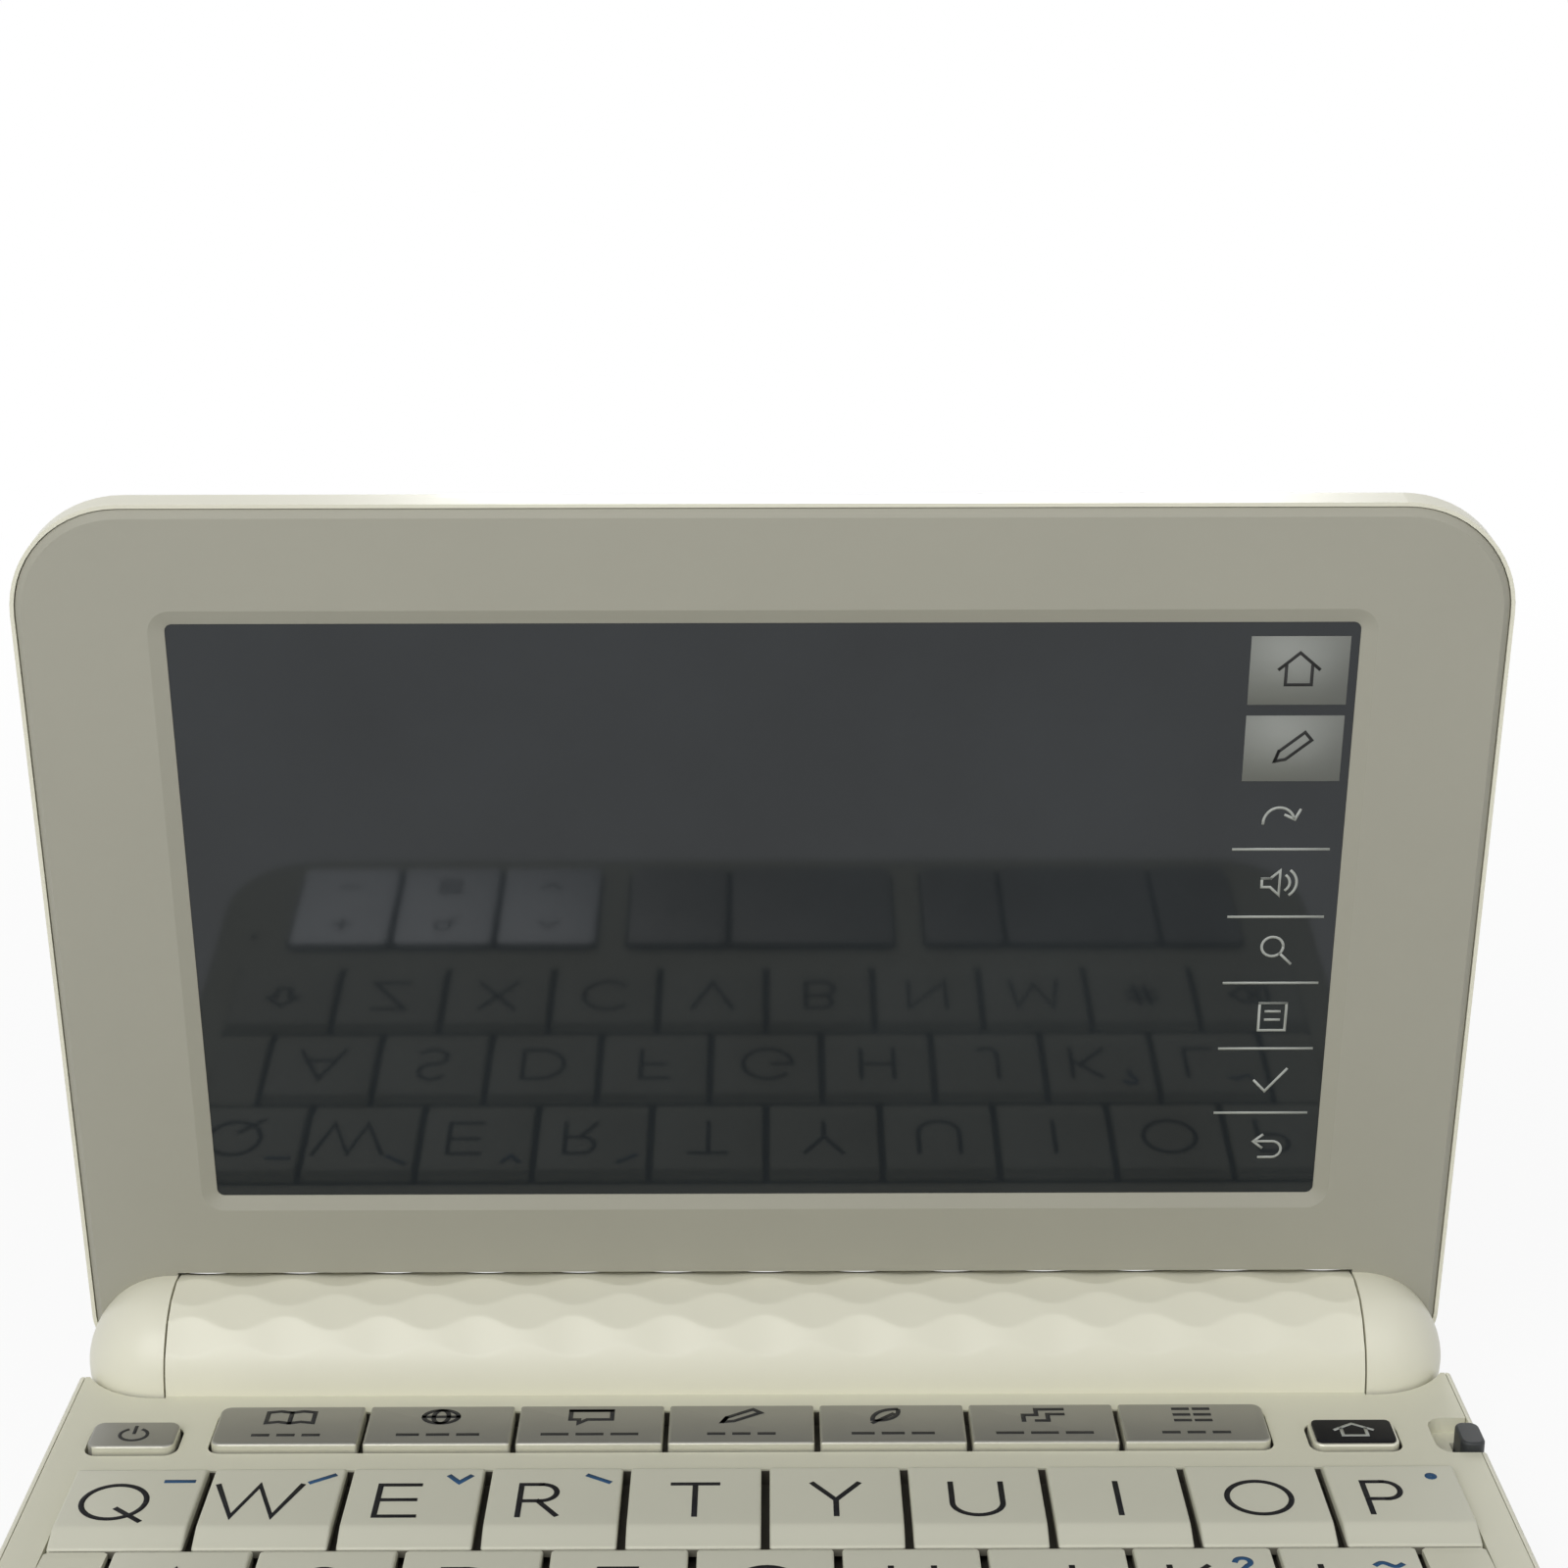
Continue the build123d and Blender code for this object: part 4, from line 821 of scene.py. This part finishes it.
class DICTIONARY_OT_stage(bpy.types.Operator):
    """Floor, room, soft boxes and camera"""
    bl_idname = "dictionary.stage"
    bl_label = "Stage"

    def execute(self, context):
        settings = context.scene.stage_settings
        self.floor()
        self.room(settings.ambient)
        self.soft_box("overhead", (-0.40, -0.82, 0.76), (0.0, 0.0, 0.04), 0.8, settings.overhead)
        self.soft_box("fill", (0.60, -0.70, 0.72), (0.0, 0.0, 0.04), 0.8, settings.fill)
        self.soft_box("rear", (0.05, 1.05, 0.50), (0.0, 0.0, 0.05), 0.4, settings.rear)
        self.camera()
        return {"FINISHED"}

    def seen(self, nodes, links):
        """One for camera, glossy and transmission rays, and zero for the rest."""
        path = nodes.new("ShaderNodeLightPath")
        total = path.outputs["Is Camera Ray"]
        for kind in ("Is Glossy Ray", "Is Transmission Ray"):
            add = nodes.new("ShaderNodeMath")
            add.operation = "MAXIMUM"
            links.new(total, add.inputs[0])
            links.new(path.outputs[kind], add.inputs[1])
            total = add.outputs[0]
        return total

    def floor(self):
        """A matt floor that cameras and mirrors see as near white, and as white farther out."""
        side = 2.5
        mesh = bpy.data.meshes.new("floor")
        mesh.from_pydata([(-side, -side, 0), (side, -side, 0), (side, side, 0), (-side, side, 0)], [],
                         [(0, 1, 2, 3)])
        floor = bpy.data.objects.new("floor", mesh)
        bpy.context.scene.collection.objects.link(floor)
        material = bpy.data.materials.new("pale_floor")
        material.use_nodes = True
        nodes, links = material.node_tree.nodes, material.node_tree.links
        nodes.clear()
        out = nodes.new("ShaderNodeOutputMaterial")
        matt = nodes.new("ShaderNodeBsdfDiffuse")
        matt.inputs["Color"].default_value = (0.8, 0.8, 0.8, 1)
        glow = nodes.new("ShaderNodeEmission")
        glow.inputs["Strength"].default_value = 1.0
        place = nodes.new("ShaderNodeTexCoord")
        away = nodes.new("ShaderNodeVectorMath")
        away.operation = "LENGTH"
        links.new(place.outputs["Object"], away.inputs[0])
        fade = nodes.new("ShaderNodeMapRange")
        fade.interpolation_type = "SMOOTHSTEP"
        fade.inputs["From Min"].default_value = 0.1
        fade.inputs["From Max"].default_value = 0.55
        fade.inputs["To Min"].default_value = 0.9
        fade.inputs["To Max"].default_value = 1.0
        links.new(away.outputs["Value"], fade.inputs["Value"])
        share = nodes.new("ShaderNodeMath")
        share.operation = "MULTIPLY"
        links.new(fade.outputs["Result"], share.inputs[1])
        mix = nodes.new("ShaderNodeMixShader")
        links.new(self.seen(nodes, links), share.inputs[0])
        links.new(share.outputs[0], mix.inputs["Fac"])
        links.new(matt.outputs[0], mix.inputs[1])
        links.new(glow.outputs[0], mix.inputs[2])
        links.new(mix.outputs[0], out.inputs["Surface"])
        mesh.materials.append(material)

    def room(self, ambient):
        """Even light from all round, which cameras and mirrors see as white."""
        world = bpy.data.worlds.new("studio")
        bpy.context.scene.world = world
        world.use_nodes = True
        nodes, links = world.node_tree.nodes, world.node_tree.links
        nodes.clear()
        out = nodes.new("ShaderNodeOutputWorld")
        even = nodes.new("ShaderNodeBackground")
        even.inputs["Strength"].default_value = ambient
        white = nodes.new("ShaderNodeBackground")
        white.inputs["Color"].default_value = (1, 1, 1, 1)
        even.inputs["Color"].default_value = (1, 1, 1, 1)
        mix = nodes.new("ShaderNodeMixShader")
        links.new(self.seen(nodes, links), mix.inputs["Fac"])
        links.new(even.outputs[0], mix.inputs[1])
        links.new(white.outputs[0], mix.inputs[2])
        links.new(mix.outputs[0], out.inputs["Surface"])

    def soft_box(self, name, place, aim, size, power):
        """A square lamp at a place, turned to its aim."""
        lamp = bpy.data.lights.new(name, "AREA")
        lamp.size = size
        lamp.energy = power
        box = bpy.data.objects.new(name, lamp)
        box.location = place
        box.rotation_euler = (Vector(aim) - Vector(place)).to_track_quat("-Z", "Y").to_euler()
        bpy.context.scene.collection.objects.link(box)

    def camera(self):
        """The camera, from its place, its three angles and its focal length in pixels."""
        pitch, yaw, roll = np.radians(CAMERA_TURN)
        forward = Vector((math.sin(yaw) * math.cos(pitch), math.cos(yaw) * math.cos(pitch),
                          -math.sin(pitch)))
        level = Vector((math.cos(yaw), -math.sin(yaw), 0.0))
        above = level.cross(forward)
        right = level * math.cos(roll) + above * math.sin(roll)
        up = above * math.cos(roll) - level * math.sin(roll)
        lens = bpy.data.cameras.new("camera")
        lens.sensor_width = SENSOR_WIDTH
        lens.lens = FOCAL_LENGTH / IMAGE_WIDTH * SENSOR_WIDTH
        lens.clip_start = 0.01
        camera = bpy.data.objects.new("camera", lens)
        turned = Matrix((right, up, -forward)).transposed().to_4x4()
        camera.matrix_world = Matrix.Translation(Vector(CAMERA_PLACE) * MM) @ turned
        bpy.context.scene.collection.objects.link(camera)
        bpy.context.scene.camera = camera
        bpy.context.scene.view_settings.view_transform = "Standard"


class DICTIONARY_PT_panel(bpy.types.Panel):
    bl_label = "Dictionary"
    bl_idname = "DICTIONARY_PT_panel"
    bl_space_type = "VIEW_3D"
    bl_region_type = "UI"
    bl_category = "Dictionary"

    def draw(self, context):
        scene = context.scene
        for settings in (scene.dictionary_sizes, scene.dictionary_colours, scene.stage_settings):
            for name in settings.__annotations__:
                self.layout.prop(settings, name)
        for operator in OPERATORS:
            self.layout.operator(operator.bl_idname)


OPERATORS = (
    DICTIONARY_OT_finishes,
    DICTIONARY_OT_barrel,
    DICTIONARY_OT_letter_keys,
    DICTIONARY_OT_flat_keys,
    DICTIONARY_OT_letters,
    DICTIONARY_OT_signs,
    DICTIONARY_OT_soft_keys,
    DICTIONARY_OT_stage,
)
GROUPS = (DictionarySizes, DictionaryColours, StageSettings)
CLASSES = (*GROUPS, *OPERATORS, DICTIONARY_PT_panel)


def register():
    for cls in CLASSES:
        bpy.utils.register_class(cls)
    bpy.types.Scene.dictionary_sizes = bpy.props.PointerProperty(type=DictionarySizes)
    bpy.types.Scene.dictionary_colours = bpy.props.PointerProperty(type=DictionaryColours)
    bpy.types.Scene.stage_settings = bpy.props.PointerProperty(type=StageSettings)


def unregister():
    del bpy.types.Scene.stage_settings
    del bpy.types.Scene.dictionary_colours
    del bpy.types.Scene.dictionary_sizes
    for cls in reversed(CLASSES):
        bpy.utils.unregister_class(cls)


def main():
    """Registers the add-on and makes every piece."""
    register()
    bpy.ops.dictionary.finishes()
    bpy.ops.dictionary.barrel()
    bpy.ops.dictionary.letter_keys()
    bpy.ops.dictionary.flat_keys()
    bpy.ops.dictionary.letters()
    bpy.ops.dictionary.signs()
    bpy.ops.dictionary.soft_keys()
    bpy.ops.dictionary.stage()


if __name__ == "__main__":
    main()
